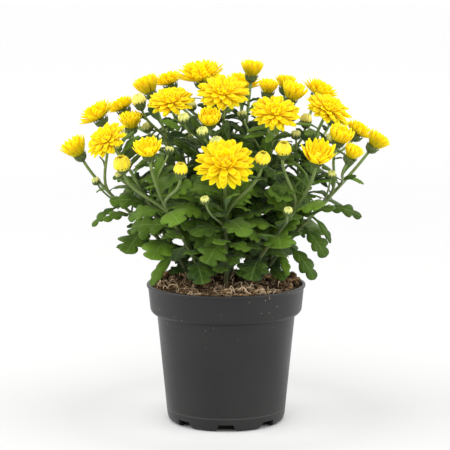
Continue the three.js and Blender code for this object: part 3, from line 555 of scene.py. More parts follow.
def in_cone(leaf):
    """Whether a blade keeps off the peat and inside the cone in which the shoots spread."""
    spots, _ = leaf_spots(leaf)
    cone, widening = RULE_CONE
    far = np.hypot(spots[:, 0], spots[:, 1])
    inside = far < cone + widening * (spots[:, 2] - COLLAR_Z)
    return bool(np.all(inside & (spots[:, 2] > RULE_FLOOR)))


@functools.lru_cache(maxsize=None)
def plan_leaves():
    """All leaves: those of the solids, in their order, and the smaller ones between them."""
    room = Room()
    leaves = []
    for stem in range(len(FEET)):
        room.add_curve(stem_curve(stem), STEM_RADIUS, stem, 0)
    for head in HEADS:
        room.add_head(head)
        if head.place < 1:
            seat = seat_of(head)
            curve = branch_curve(head.stem, head.place, seat.neck, seat.axis)
            room.add_curve(curve, BRANCH_RADIUS, head.stem, 1)
    for bud in SMALL_BUDS:
        room.add_curve(bud_curve(bud), TWIG_RADIUS, bud.stem, 1)
        room.add(bud.middle, bud.diameter / 2, bud.stem)
    for row in SHOWN_LEAVES:
        room.place(shown_leaf(*row), leaves, LEAF_CLEAR)
    draw = make_draws(RULE_SEED)
    for stem, count in enumerate(RULE_LEAVES):
        for order in range(count):
            room.place(ruled_leaf(stem, order, count, RULE, draw), leaves, LEAF_CLEAR)
    for row in COVER_LEAVES:
        room.place(shown_leaf(*row), leaves, FILL_CLEAR)
    draw = make_draws(FILL_SEED)
    farthest, growth, highest = FILL_REACH
    for stem in range(len(FEET)):
        for order in range(FILL_TRIES):
            bends = [leaf for leaf in ruled_leaf(stem, order, FILL_TRIES, FILL, draw)
                     if math.hypot(leaf.tip[0], leaf.tip[1]) < farthest
                     + growth * (leaf.tip[2] - COLLAR_Z) and leaf.tip[2] < highest]
            room.place(bends, leaves, FILL_CLEAR)
    return leaves


# ---- Building meshes ----

def new_bmesh():
    bm = bmesh.new()
    bm.loops.layers.uv.new("UVMap")
    bm.verts.layers.float.new("tone")
    bm.verts.layers.float.new("inner")
    return bm


def add_blade(bm, across, rows, shape, material=0, tone=0.5, inner=0.0):
    """Adds a grid of quads and moves its points to shape(u, v): u runs across the blade from
    -1 to 1, and v along it from 0 to 1."""
    made = bmesh.ops.create_grid(bm, x_segments=across, y_segments=rows, size=0.5, calc_uvs=True)
    spots = np.array([vert.co.xy for vert in made["verts"]])
    places = shape(2 * spots[:, 0], spots[:, 1] + 0.5)
    tones = bm.verts.layers.float["tone"]
    inners = bm.verts.layers.float["inner"]
    for vert, place in zip(made["verts"], places):
        vert.co = place
        vert[tones] = tone
        vert[inners] = inner
        for face in vert.link_faces:
            face.material_index = material


def thicken(bm, thickness, under=None):
    """Gives every blade of bm its thickness, and its lower face a material of its own."""
    made = bmesh.ops.solidify(bm, geom=bm.faces[:], thickness=thickness)
    if under is not None:
        for item in made["geom"]:
            if isinstance(item, bmesh.types.BMFace):
                item.material_index = under


def join(bm, other):
    """Moves everything from another bmesh into bm."""
    mesh = bpy.data.meshes.new("joined")
    other.to_mesh(mesh)
    other.free()
    bm.from_mesh(mesh)
    bpy.data.meshes.remove(mesh)


def add_stalks(bm, routes, sides_level, material, tone=0.5):
    """Adds round stalks, closed at both ends. A route is a list of points with a radius each."""
    curve = bpy.data.curves.new("stalks", "CURVE")
    curve.dimensions = "3D"
    curve.bevel_depth = 1.0
    curve.bevel_resolution = sides_level
    curve.use_fill_caps = True
    for route in routes:
        spline = curve.splines.new("POLY")
        spline.points.add(len(route) - 1)
        for point, (place, radius) in zip(spline.points, route):
            point.co = (*place, 1)
            point.radius = radius
    holder = bpy.data.objects.new("stalks", curve)
    mesh = bpy.data.meshes.new_from_object(holder)
    made = new_bmesh()
    made.from_mesh(mesh)
    bmesh.ops.remove_doubles(made, verts=made.verts, dist=1e-4)
    for face in made.faces:
        face.material_index = material
    for vert in made.verts:
        vert[made.verts.layers.float["tone"]] = tone
    join(bm, made)
    bpy.data.objects.remove(holder)
    bpy.data.curves.remove(curve)
    bpy.data.meshes.remove(mesh)


def finish_piece(bm, name, materials, slot, *nodes):
    """Turns a bmesh in millimetres into a piece in metres, which rides with the whole plant."""
    bmesh.ops.scale(bm, vec=(MM, MM, MM), verts=bm.verts)
    mesh = bpy.data.meshes.new(name)
    bm.to_mesh(mesh)
    bm.free()
    for material in materials:
        mesh.materials.append(material)
    mesh.shade_smooth()
    piece = bpy.data.objects.new(name, mesh)
    bpy.context.scene.collection.objects.link(piece)
    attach(piece, "root")
    if nodes:
        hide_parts(*nodes)
    return piece


# ---- Materials ----

def add_node(tree, kind, values=None, **settings):
    """Adds a node with its settings, and its inputs from numbers or from other nodes' outputs."""
    node = tree.nodes.new(kind)
    for name, value in settings.items():
        setattr(node, name, value)
    for name, value in (values or {}).items():
        if isinstance(value, bpy.types.NodeSocket):
            tree.links.new(value, node.inputs[name])
        else:
            node.inputs[name].default_value = value
    return node


def math_node(tree, operation, *values, clamp=False):
    inputs = dict(enumerate(values))
    return add_node(tree, "ShaderNodeMath", inputs, operation=operation, use_clamp=clamp).outputs[0]


def scaled(tree, value, share):
    return math_node(tree, "MULTIPLY", value, share)


def map_range(tree, value, low, high, start=0.0, end=1.0, kind="LINEAR"):
    """Takes a value from the range low to high to the range start to end, and holds it there."""
    node = add_node(tree, "ShaderNodeMapRange", {
        "Value": value, "From Min": low, "From Max": high, "To Min": start, "To Max": end},
        interpolation_type=kind)
    return node.outputs["Result"]


def mix_colours(tree, factor, first, second):
    """Mixes two colours, each of them given by its three parts or by another node."""
    first, second = (colour if isinstance(colour, bpy.types.NodeSocket) else (*colour, 1)
                     for colour in (first, second))
    node = add_node(tree, "ShaderNodeMix", {0: factor, 6: first, 7: second}, data_type="RGBA")
    return node.outputs[2]


def ramp(tree, factor, stops):
    node = add_node(tree, "ShaderNodeValToRGB", {"Fac": factor})
    elements = node.color_ramp.elements
    while len(elements) < len(stops):
        elements.new(0.5)
    for element, (place, colour) in zip(elements, stops):
        element.position = place
        element.color = (*colour, 1)
    return node.outputs["Color"]


def attribute(tree, name):
    return add_node(tree, "ShaderNodeAttribute", attribute_name=name).outputs["Fac"]


def object_place(tree):
    """The place on the object, and its height, both in metres."""
    place = add_node(tree, "ShaderNodeTexCoord").outputs["Object"]
    height = add_node(tree, "ShaderNodeSeparateXYZ", {"Vector": place}).outputs["Z"]
    return place, height


def blade_map(tree):
    """The places across and along a blade, from its own map, and how far off its rib."""
    place = add_node(tree, "ShaderNodeUVMap", uv_map="UVMap").outputs["UV"]
    parts = add_node(tree, "ShaderNodeSeparateXYZ", {"Vector": place}).outputs
    off = math_node(tree, "ABSOLUTE", math_node(tree, "SUBTRACT", parts["X"], 0.5))
    return parts["X"], parts["Y"], off


def shared_group(name, inputs, outputs, fill):
    """A node group of numbers, built once: its inputs have defaults, and fill makes its outputs."""
    if name in bpy.data.node_groups:
        return bpy.data.node_groups[name]
    tree = bpy.data.node_groups.new(name, "ShaderNodeTree")
    for label, default in inputs.items():
        socket = tree.interface.new_socket(label, in_out="INPUT", socket_type="NodeSocketFloat")
        socket.default_value = default
    for label in outputs:
        tree.interface.new_socket(label, in_out="OUTPUT", socket_type="NodeSocketFloat")
    results = fill(tree, tree.nodes.new("NodeGroupInput").outputs)
    out = tree.nodes.new("NodeGroupOutput").inputs
    for label, result in zip(outputs, results):
        tree.links.new(result, out[label])
    return tree


def add_group(tree, group, **values):
    """Places a shared group in a material with values of its own, and gives its outputs."""
    node = add_node(tree, "ShaderNodeGroup", node_tree=group)
    for name, value in values.items():
        node.inputs[name.replace("_", " ")].default_value = value
    return node.outputs


def mottle_group():
    """Soft patches all over a surface, from 0 to 1, and a fine grain."""
    def fill(tree, given):
        place, _ = object_place(tree)
        patches, grain = (
            add_node(tree, "ShaderNodeTexNoise", {
                "Vector": place, "Scale": scale, "Detail": detail}).outputs["Fac"]
            for scale, detail in ((given["Patch Scale"], 3.0), (given["Grain Scale"], 2.0)))
        return map_range(tree, patches, 0.32, 0.68), grain

    return shared_group("surface mottle", {"Patch Scale": 60.0, "Grain Scale": 900.0},
                        ("Patches", "Grain"), fill)


def ribs_group():
    """Lines that run along a blade, a mask of its edge, and the place along it."""
    def fill(tree, given):
        across, along, off = blade_map(tree)
        turns = scaled(tree, across, given["Count"])
        wave = math_node(tree, "SINE", scaled(tree, turns, 2 * math.pi))
        ribs = math_node(tree, "MULTIPLY_ADD", wave, 0.5, 0.5)
        edge = math_node(tree, "POWER", scaled(tree, off, 2.0), 4.0)
        return ribs, edge, along

    return shared_group("blade ribs", {"Count": 4.0}, ("Ribs", "Edge", "Along"), fill)


def veins_group():
    """A leaf's rib and its side veins, which run forwards to the edge."""
    def fill(tree, given):
        _, along, off = blade_map(tree)
        rib = map_range(tree, off, 0.012, 0.05, 1.0, 0.0, "SMOOTHSTEP")
        forwards = math_node(tree, "SUBTRACT", along, scaled(tree, off, 0.55))
        row = math_node(tree, "FRACT", scaled(tree, forwards, given["Pairs"]))
        gap = math_node(tree, "ABSOLUTE", math_node(tree, "SUBTRACT", row, 0.5))
        side = map_range(tree, gap, 0.0, given["Width"], 1.0, 0.0, "SMOOTHSTEP")
        fade = math_node(tree, "SUBTRACT", 1.0, scaled(tree, off, 1.5))
        sides = math_node(tree, "MULTIPLY", side, fade, clamp=True)
        veins = math_node(tree, "MAXIMUM", rib, sides)
        return veins, scaled(tree, veins, -1.0)

    return shared_group("leaf veins", {"Pairs": 5.0, "Width": 0.12}, ("Veins", "Height"), fill)


def new_material(name, **values):
    """A material with one Principled shader, whose plain values are set on its own sockets."""
    material = bpy.data.materials.new(name)
    material.use_nodes = True
    tree = material.node_tree
    shader = tree.nodes["Principled BSDF"]
    for socket, value in values.items():
        shader.inputs[socket.replace("_", " ")].default_value = value
    return material, tree, shader.inputs


def finish_material(tree, inputs, colour, height, distance, strength):
    """Gives a material its colour and its bump, whose distance is in metres."""
    tree.links.new(colour, inputs["Base Color"])
    bump = add_node(tree, "ShaderNodeBump", {
        "Height": height, "Distance": distance, "Strength": strength})
    tree.links.new(bump.outputs["Normal"], inputs["Normal"])


def petal_material(settings):
    """Yellow petals, paler low down in the head as painted light that lifts the shade between them,
    with paler rims and fine lengthwise lines.
    """
    material, tree, inputs = new_material(
        "petal yellow", Roughness=0.7, Specular_IOR_Level=0.08, Subsurface_Weight=0.85,
        Subsurface_Radius=(1.0, 0.9, 0.08), Subsurface_Scale=0.004)
    ribs = add_group(tree, ribs_group(), Count=3.0)
    # Painted light: the lower stops are paler than the body, which lifts the shade deep in the head.
    body = ramp(tree, ribs["Along"], [
        (0.0, settings.lit_petal_base), (0.2, settings.lit_petal_low),
        (0.5, settings.petal_colour), (1.0, settings.petal_tip)])
    inner = scaled(tree, attribute(tree, "inner"), 0.2)
    deep = mix_colours(tree, inner, body, settings.petal_heart)
    rimmed = mix_colours(tree, scaled(tree, ribs["Edge"], 0.7), deep, settings.petal_rim)
    tone = map_range(tree, attribute(tree, "tone"), 0.0, 1.0, 0.96, 1.03)
    shade = add_node(tree, "ShaderNodeHueSaturation", {"Value": tone, "Color": rimmed})
    finish_material(tree, inputs, shade.outputs["Color"], ribs["Ribs"], 0.00006, 0.4)
    return material


def bud_petal_material(name, low, middle, tip, rim):
    """Petals of closed buds, greener at both ends."""
    material, tree, inputs = new_material(
        name, Roughness=0.5, Specular_IOR_Level=0.3, Subsurface_Weight=0.3,
        Subsurface_Radius=(1.0, 0.7, 0.1), Subsurface_Scale=0.002)
    ribs = add_group(tree, ribs_group())
    body = ramp(tree, ribs["Along"], [(0.0, low), (0.34, middle), (0.7, middle), (1.0, tip)])
    rimmed = mix_colours(tree, scaled(tree, ribs["Edge"], 0.6), body, rim)
    inner = scaled(tree, attribute(tree, "inner"), 0.7)
    colour = mix_colours(tree, inner, rimmed, tip)
    finish_material(tree, inputs, colour, ribs["Ribs"], 0.00015, 0.5)
    return material


def leaf_material(name, dark, light, vein, vein_share, roughness):
    """A leaf's face: dark and light patches, each leaf in its own tone and painted shade, with paler
    veins.
    """
    material, tree, inputs = new_material(
        name, Roughness=roughness, Specular_IOR_Level=0.13, Subsurface_Weight=0.12,
        Subsurface_Radius=(0.4, 1.0, 0.1), Subsurface_Scale=0.0015, Sheen_Weight=0.05)
    patch = scaled(tree, add_group(tree, mottle_group())["Patches"], 0.4)
    veins = add_group(tree, veins_group())
    # The tone attribute carries painted shade from the middle of the plant as well as each leaf's
    # own tone.
    share = math_node(tree, "MULTIPLY_ADD", attribute(tree, "tone"), 0.75, patch, clamp=True)
    body = mix_colours(tree, share, dark, light)
    colour = mix_colours(tree, scaled(tree, veins["Veins"], vein_share), body, vein)
    finish_material(tree, inputs, colour, veins["Height"], 0.0003, 0.7)
    return material


def stem_material(settings):
    """Stalks: pale olive with fine streaks, darker and browner down towards the peat: partly a woody
    foot, partly painted shade under the leaves.
    """
    material, tree, inputs = new_material(
        "stem", Roughness=0.6, Specular_IOR_Level=0.3, Subsurface_Weight=0.1,
        Subsurface_Radius=(0.5, 1.0, 0.2), Subsurface_Scale=0.001, Sheen_Weight=0.1)
    mottle = add_group(tree, mottle_group(), Patch_Scale=220.0)
    share = math_node(tree, "MULTIPLY_ADD", mottle["Patches"], 0.5,
                      scaled(tree, mottle["Grain"], 0.4), clamp=True)
    green = mix_colours(tree, share, settings.stem_dark, settings.stem_colour)
    _, height = object_place(tree)
    # The foot turns dark: partly a woody stem, partly painted shade under the leaves.
    foot = map_range(tree, height, 0.115, 0.215, 0.9, 0.0)
    colour = mix_colours(tree, foot, green, settings.stem_foot_and_shade)
    finish_material(tree, inputs, colour, mottle["Grain"], 0.0002, 0.5)
    return material


def bract_material(settings):
    """The green scales of a cup, with pale papery edges."""
    material, tree, inputs = new_material(
        "cup scales", Roughness=0.55, Specular_IOR_Level=0.3, Subsurface_Weight=0.1,
        Subsurface_Radius=(0.5, 1.0, 0.2), Subsurface_Scale=0.001)
    ribs = add_group(tree, ribs_group())
    body = mix_colours(tree, scaled(tree, ribs["Ribs"], 0.3), settings.cup_colour,
                       settings.stem_colour)
    colour = mix_colours(tree, scaled(tree, ribs["Edge"], 0.6), body, settings.cup_rim)
    finish_material(tree, inputs, colour, ribs["Ribs"], 0.0002, 0.5)
    return material


def dust_specks(tree, place, height):
    """A mask of rare round specks, more of them towards the rim."""
    cells = add_node(tree, "ShaderNodeTexVoronoi", {"Vector": place, "Scale": 340.0}).outputs
    dot = map_range(tree, cells["Distance"], 0.07, 0.17, 1.0, 0.0)
    chance = add_node(tree, "ShaderNodeSeparateXYZ", {"Vector": cells["Color"]}).outputs["X"]
    rare = math_node(tree, "GREATER_THAN", chance, 0.8)
    return scaled(tree, scaled(tree, dot, rare), map_range(tree, height, 0.06, 0.1, 0.1, 0.8))


def pot_material(settings):
    """Moulded charcoal plastic, a little lighter where it is rubbed, with specks of dry peat."""
    material, tree, inputs = new_material("charcoal plastic", Specular_IOR_Level=0.36)
    mottle = add_group(tree, mottle_group(), Patch_Scale=26.0, Grain_Scale=1800.0)
    place, height = object_place(tree)
    low = map_range(tree, height, 0.0, 0.03, 1.0, 0.0)
    wear = scaled(tree, mottle["Patches"], math_node(tree, "MULTIPLY_ADD", low, 0.3, 0.35))
    ring = math_node(tree, "ABSOLUTE", math_node(tree, "SUBTRACT", height, SCUFF_HEIGHT))
    scuff = map_range(tree, ring, 0.0, 0.0006, 1.0, 0.0)
    plain = mix_colours(tree, wear, settings.pot_colour, settings.pot_worn)
    body = mix_colours(tree, scaled(tree, scuff, mottle["Grain"]), plain, settings.pot_scuff)
    colour = mix_colours(tree, dust_specks(tree, place, height), body, settings.dust_colour)
    rough = map_range(tree, mottle["Patches"], 0.0, 1.0, 0.35, 0.48)
    tree.links.new(rough, inputs["Roughness"])
    finish_material(tree, inputs, colour, mottle["Grain"], 0.00006, 0.5)
    return material


def peat_material(name, settings, dark_share):
    """Crumbly peat: brown on its crumbs, with tan flecks, near black lower in the pot, and painted
    shade in its gaps, under the plant and under the crumbs.
    """
    material, tree, inputs = new_material(name, Roughness=0.95, Specular_IOR_Level=0.12)
    mottle = add_group(tree, mottle_group(), Patch_Scale=260.0, Grain_Scale=1500.0)
    _, height = object_place(tree)
    near_top = map_range(tree, height, 0.05, 0.09)
    share = scaled(tree, scaled(tree, mottle["Patches"], near_top), 1 - dark_share)
    body = mix_colours(tree, share, settings.peat_dark_and_shade, settings.peat_colour)
    dry = scaled(tree, near_top, 0.6)
    tone = scaled(tree, attribute(tree, "tone"), dry)
    toned = mix_colours(tree, tone, body, settings.peat_light)
    flecks = scaled(tree, map_range(tree, mottle["Grain"], 0.6, 0.72), dry)
    flecked = mix_colours(tree, flecks, toned, settings.fibre_colour)
    # Painted shade, from the inner attribute: the gaps between clods, the peat under the plant and
    # the crumbs' undersides.
    shade = scaled(tree, attribute(tree, "inner"), 0.9)
    colour = mix_colours(tree, shade, flecked, settings.peat_dark_and_shade)
    finish_material(tree, inputs, colour, mottle["Grain"], 0.0008, 0.9)
    return material


def fibre_material(settings):
    """Dry curly roots and fibres, tan to brown."""
    material, tree, inputs = new_material("dry fibre", Roughness=0.8, Specular_IOR_Level=0.2)
    mottle = add_group(tree, mottle_group(), Patch_Scale=150.0)
    share = math_node(tree, "MULTIPLY_ADD", attribute(tree, "tone"), 0.8,
                      scaled(tree, mottle["Patches"], 0.3), clamp=True)
    colour = mix_colours(tree, share, settings.peat_colour, settings.fibre_colour)
    finish_material(tree, inputs, colour, mottle["Grain"], 0.0002, 0.5)
    return material


def floor_material(settings):
    """A pale floor: a painted pool of light right round the pot against its shadow, painted shade
    nearby where the lamps light it most, and paler far away.
    """
    material, tree, inputs = new_material("pale floor", Roughness=0.7, Specular_IOR_Level=0.1)
    patches = add_group(tree, mottle_group(), Patch_Scale=3.0)["Patches"]
    place, _ = object_place(tree)
    far = add_node(tree, "ShaderNodeVectorMath", {0: place}, operation="LENGTH")
    near = add_node(tree, "ShaderNodeVectorMath", {0: place, 1: LIGHT_POOL_MIDDLE}, operation="DISTANCE")
    # Painted light: a paler pool round the pot against its shadow. The floor nearby is painted
    # darker than far away, where only the room lights it.
    light_pool_share = map_range(tree, near.outputs["Value"], 0.05, 0.125, kind="SMOOTHSTEP")
    far_share = map_range(tree, far.outputs["Value"], 0.2, 3.4, kind="SMOOTHSTEP")
    grain = math_node(tree, "MULTIPLY_ADD", patches, 0.03, -0.015)
    mixed = math_node(tree, "ADD", far_share, grain, clamp=True)
    close = mix_colours(tree, light_pool_share, settings.light_pool_colour, settings.floor_colour)
    tree.links.new(mix_colours(tree, mixed, close, settings.far_colour), inputs["Base Color"])
    return material


# ---- Settings ----

def colour_property(name, description, default):
    return FloatVectorProperty(name=name, description=description, default=default,
                               subtype="COLOR", size=3, min=0.0, max=1.0)


class PotSettings(bpy.types.PropertyGroup):
    """The pot and its peat"""
    sides: IntProperty(name="Sides", description="Facets round the pot", default=144, min=24)
    pot_colour: colour_property("Plastic", "Colour of the pot", (0.0088, 0.0088, 0.0090))
    pot_worn: colour_property("Worn plastic", "Colour of rubbed plastic", (0.018, 0.0172, 0.0164))
    pot_scuff: colour_property("Scuff", "Colour of the scuffed ring", (0.085, 0.082, 0.078))
    dust_colour: colour_property("Dust", "Colour of the peat dust", (0.42, 0.30, 0.19))
    # Also the colour of the painted shade in the gaps, under the plant and under the crumbs.
    peat_dark_and_shade: colour_property("Peat gaps", "Colour deep in the peat", (0.006, 0.0035, 0.002))
    peat_colour: colour_property("Peat", "Colour of the peat", (0.145, 0.077, 0.030))
    peat_light: colour_property("Dry peat", "Colour of dry crumbs", (0.56, 0.33, 0.15))
    fibre_colour: colour_property("Fibres", "Colour of dry fibres", (0.93, 0.72, 0.47))
    crumbs: IntProperty(name="Crumbs", description="Crumbs lying on the peat", default=820, min=0)
    fibres: IntProperty(name="Fibres", description="Dry fibres on the peat", default=300, min=0)


class PlantSettings(bpy.types.PropertyGroup):
    """Stems, leaves and flower heads"""
    leaf_thickness: FloatProperty(
        name="Leaf thickness", description="Thickness of a leaf in millimetres",
        default=0.45, min=0.1, max=1.0)
    petal_thickness: FloatProperty(
        name="Petal thickness", description="Thickness of a petal in millimetres",
        default=0.28, min=0.1, max=1.0)
    leaf_dark: colour_property("Leaf, dark", "Darker parts of the leaves", (0.014, 0.036, 0.003))
    leaf_light: colour_property("Leaf, light", "Lighter parts of the leaves", (0.108, 0.200, 0.012))
    leaf_vein: colour_property("Veins", "Veins of the leaves", (0.19, 0.30, 0.075))
    under_dark: colour_property("Underside, dark", "Backs of the leaves", (0.058, 0.105, 0.035))
    under_light: colour_property("Underside, light", "Backs of the leaves", (0.125, 0.19, 0.075))
    stem_dark: colour_property("Stem, dark", "Streaks on the stems", (0.11, 0.18, 0.035))
    stem_colour: colour_property("Stem", "Colour of the stems", (0.25, 0.33, 0.085))
    # Stem foot colour: partly woody stem, partly painted shade under the leaves.
    stem_foot_and_shade: colour_property("Stem foot", "Stems just over the peat", (0.045, 0.050, 0.016))
    cup_colour: colour_property("Cup", "Scales below the heads", (0.035, 0.075, 0.015))
    cup_rim: colour_property("Cup edges", "Papery edges of the scales", (0.20, 0.23, 0.07))
    # The two lower petal colours are paler than the body: painted light for the shaded depth of a
    # head.
    lit_petal_base: colour_property("Petal base", "Lowest part of a petal", (1.0, 0.68, 0.004))
    lit_petal_low: colour_property("Petal, low", "Lower part of a petal", (1.0, 0.65, 0.003))
    petal_colour: colour_property("Petal", "Most of a petal", (1.0, 0.60, 0.002))
    petal_tip: colour_property("Petal tip", "Tip of a petal", (1.0, 0.59, 0.003))
    petal_rim: colour_property("Petal rim", "Edge of a petal", (1.0, 0.62, 0.03))
    petal_heart: colour_property("Heart", "Innermost petals", (1.0, 0.61, 0.0))
    bud_low: colour_property("Bud base", "Lowest part of a bud's petals", (0.52, 0.55, 0.09))
    bud_colour: colour_property("Bud", "Sides of a bud's petals", (0.95, 0.70, 0.01))
    bud_rim: colour_property("Bud, edges", "Edges of a bud's petals", (1.0, 0.84, 0.14))
    bud_tip: colour_property("Bud tip", "Dimple of a bud", (0.62, 0.52, 0.01))
    young_low: colour_property("Young bud, ends", "Ends of its petals", (0.60, 0.60, 0.14))
    young_colour: colour_property("Young bud", "Petals of an unripe bud", (0.92, 0.76, 0.13))
    cream: colour_property("Cream", "Petals of the smallest buds", (0.70, 0.69, 0.19))
    cream_base: colour_property("Cream base", "Lower part of those petals", (0.42, 0.48, 0.13))
    cream_tip: colour_property("Cream tip", "Dimple of those buds", (0.36, 0.40, 0.08))


class StageSettings(bpy.types.PropertyGroup):
    """Floor, lights and camera"""
    # Light pool: a paler floor round the pot, painted light against its shadow.
    light_pool_colour: colour_property("Near floor", "Colour of the floor round the pot",
                                 (0.74, 0.74, 0.737))
    # The floor nearby is painted darker, where the lamps light it more than far away.
    floor_colour: colour_property("Floor", "Colour of the floor nearby", (0.60, 0.60, 0.598))
    far_colour: colour_property("Far floor", "Colour of the floor far away", (0.757, 0.757, 0.757))
    floor_radius: FloatProperty(name="Floor radius", description="How far the floor reaches",
                                default=40.0, subtype="DISTANCE")
    world_light: FloatProperty(name="Room light", description="Strength of the room's light",
                               default=1.28, min=0.0)
    key_light: FloatProperty(name="Key light", description="Power of the main light in watts",
                             default=17.0, min=0.0, subtype="POWER")
    side_light: FloatProperty(name="Side light", description="Power of each side light in watts",
                              default=22.0, min=0.0, subtype="POWER")
    lens: FloatProperty(name="Lens", description="Focal length in millimetres", default=137.5)
    camera_height: FloatProperty(name="Camera height", description="Height of the camera",
                                 default=0.329, subtype="DISTANCE")
    camera_distance: FloatProperty(name="Camera distance", description="From the pot's axis",
                                   default=1.3, subtype="DISTANCE")
    camera_pitch: FloatProperty(name="Camera pitch", description="How far the camera looks down",
                                default=math.radians(7.8), subtype="ANGLE")


class ChrysanthemumSettings(bpy.types.PropertyGroup):
    """All settings of the potted chrysanthemum"""
    pot: PointerProperty(type=PotSettings)
    plant: PointerProperty(type=PlantSettings)
    stage: PointerProperty(type=StageSettings)


# ---- Pot ----

def spin_profile(bm, profile, steps):
    """Turns an open profile of (radius, height) that starts and ends on the axis into a solid."""
    verts = [bm.verts.new((radius, 0, height)) for radius, height in profile]
    edges = [bm.edges.new(pair) for pair in zip(verts, verts[1:])]
    bmesh.ops.spin(bm, geom=verts + edges, cent=(0, 0, 0), axis=(0, 0, 1),
                   angle=2 * math.pi, steps=steps, use_merge=True)
    bmesh.ops.remove_doubles(bm, verts=bm.verts, dist=1e-4)
    bmesh.ops.recalc_face_normals(bm, faces=bm.faces)


def rounded(profile, corner_radius, steps=4):
    """A profile with each of its inner corners replaced by a short round bend."""
    points = [np.array(point, float) for point in profile]
    bent = [points[0]]
    for before, corner, after in zip(points, points[1:], points[2:]):
        cut = min(corner_radius, np.linalg.norm(before - corner) * 0.45,
                  np.linalg.norm(after - corner) * 0.45)
        start = corner + unit(before - corner) * cut
        end = corner + unit(after - corner) * cut
        for t in np.linspace(0, 1, steps):
            bent.append((1 - t) ** 2 * start + 2 * t * (1 - t) * corner + t * t * end)
    bent.append(points[-1])
    return [tuple(point) for point in bent]


def notch_cutter():
    """The wedges that cut the drainage notches out of the pot's lower edge."""
    bm = bmesh.new()
    middle = (NOTCH["inner"] + NOTCH["outer"]) / 2
    for order in range(NOTCH["count"]):
        made = bmesh.ops.create_cube(bm, size=1.0)["verts"]
        for vert in made:
            top = vert.co.z > 0
            half = NOTCH["high"] if top else NOTCH["low"]
            vert.co.x = middle + vert.co.x * (NOTCH["outer"] - NOTCH["inner"])
            vert.co.y = math.copysign(half, vert.co.y)
            vert.co.z = NOTCH["height"] if top else -1.0
        angle = 2 * math.pi * order / NOTCH["count"] - math.pi / 2
        bmesh.ops.rotate(bm, cent=(0, 0, 0), matrix=Matrix.Rotation(angle, 3, "Z"), verts=made)
    bmesh.ops.scale(bm, vec=(MM, MM, MM), verts=bm.verts)
    mesh = bpy.data.meshes.new("notch cutter")
    bm.to_mesh(mesh)
    bm.free()
    cutter = bpy.data.objects.new("notch cutter", mesh)
    bpy.context.scene.collection.objects.link(cutter)
    return cutter


def apply_modifiers(piece):
    """Replaces a piece's mesh by what its modifiers make of it, and takes them off."""
    depsgraph = bpy.context.evaluated_depsgraph_get()
    done = bpy.data.meshes.new_from_object(piece.evaluated_get(depsgraph))
    old = piece.data
    piece.modifiers.clear()
    piece.data = done
    bpy.data.meshes.remove(old)


class CHRYSANTHEMUM_OT_pot(bpy.types.Operator):
    """Build the moulded nursery pot"""
    bl_idname = "chrysanthemum.pot"
    bl_label = "Pot"

    def execute(self, context):
        settings = context.scene.chrysanthemum.pot
        bm = new_bmesh()
        spin_profile(bm, rounded(POT_OUTLINE, POT_BEND), settings.sides)
        piece = finish_piece(bm, "nursery_pot", [pot_material(settings)], "pot", "pot")
        cutter = notch_cutter()
        cut = piece.modifiers.new("notches", "BOOLEAN")
        cut.object = cutter
        cut.operation = "DIFFERENCE"
        cut.solver = "EXACT"
        apply_modifiers(piece)
        bpy.data.objects.remove(cutter)
        bevel_sharp_edges(piece)
        return {"FINISHED"}


def bevel_sharp_edges(piece):
    """Rounds the cut edges a little and lets the faces meet smoothly elsewhere."""
    bm = bmesh.new()
    bm.from_mesh(piece.data)
    bmesh.ops.remove_doubles(bm, verts=bm.verts, dist=2e-6)
    sharp = [edge for edge in bm.edges
             if len(edge.link_faces) == 2 and edge.calc_face_angle() > SHARP_ANGLE]
    bmesh.ops.bevel(bm, geom=sharp, offset=EDGE_BEVEL * MM, offset_type="OFFSET", affect="EDGES",
                    segments=2, profile=0.5, material=-1, clamp_overlap=True)
    bm.to_mesh(piece.data)
    bm.free()
    piece.data.shade_smooth()


# ---- Peat ----

def lump(x, y):
    coarse = math.sin(0.23 * x + 1.3) * math.cos(0.27 * y - 0.6)
    fine = math.sin(0.61 * x - 0.47 * y) * math.cos(0.53 * x + 0.71 * y + 0.9)
    return SOIL_LUMP * (0.6 * coarse + 0.4 * fine)


def clods(x, y):
    """The peat's clods and the gaps between them: more than 0 on a clod."""
    return noise.fractal(Vector((x, y, CLOD_LAYER)) / CLOD_SIZE, *CLOD_NOISE)


def peat_height(x, y):
    """Height of the peat's crumbly face over a point."""
    part = min(math.hypot(x, y) / SOIL_EDGE, 1)
    bed = SOIL_TOP + SOIL_STEP + SOIL_CROWN * (1 - part * part)
    return bed + lump(x, y) + CLOD_HEIGHT * clods(x, y)


def painted_peat_shade(x, y):
    """Painted shade on the peat: in the gaps between clods, and under the middle of the plant."""
    middle = 0.8 * (1 - float(smooth(12, 40, math.hypot(x, y))))
    return min(1.0, max(0.0, 0.15 - 1.8 * clods(x, y)) + middle)


class CHRYSANTHEMUM_OT_peat(bpy.types.Operator):
    """Build the bed of peat with its crumbs and dry fibres"""
    bl_idname = "chrysanthemum.peat"
    bl_label = "Peat"

    def execute(self, context):
        settings = context.scene.chrysanthemum.pot
        level = SOIL_TOP + 0.5
        face = [(SOIL_EDGE * (1 - ring / PEAT_RINGS), level) for ring in range(PEAT_RINGS)]
        bm = new_bmesh()
        spin_profile(bm, [*PEAT_SIDE, *face, (0, level)], PEAT_SIDES)
        tones = bm.verts.layers.float["tone"]
        inners = bm.verts.layers.float["inner"]
        for vert in bm.verts:
            if vert.co.z > SOIL_TOP:
                x, y, _ = vert.co
                vert.co.z = max(peat_height(x, y), SOIL_TOP)
                vert[tones] = max(0.0, 0.5 * noise.noise(Vector((x, y, 0)) / 5))
                # The inner attribute holds the painted shade of the peat.
                vert[inners] = painted_peat_shade(x, y)
        finish_piece(bm, "peat_bed", [peat_material("peat", settings, 0.3)], "soil", "soil")
        add_crumbs(settings)
        add_fibres(settings)
        return {"FINISHED"}


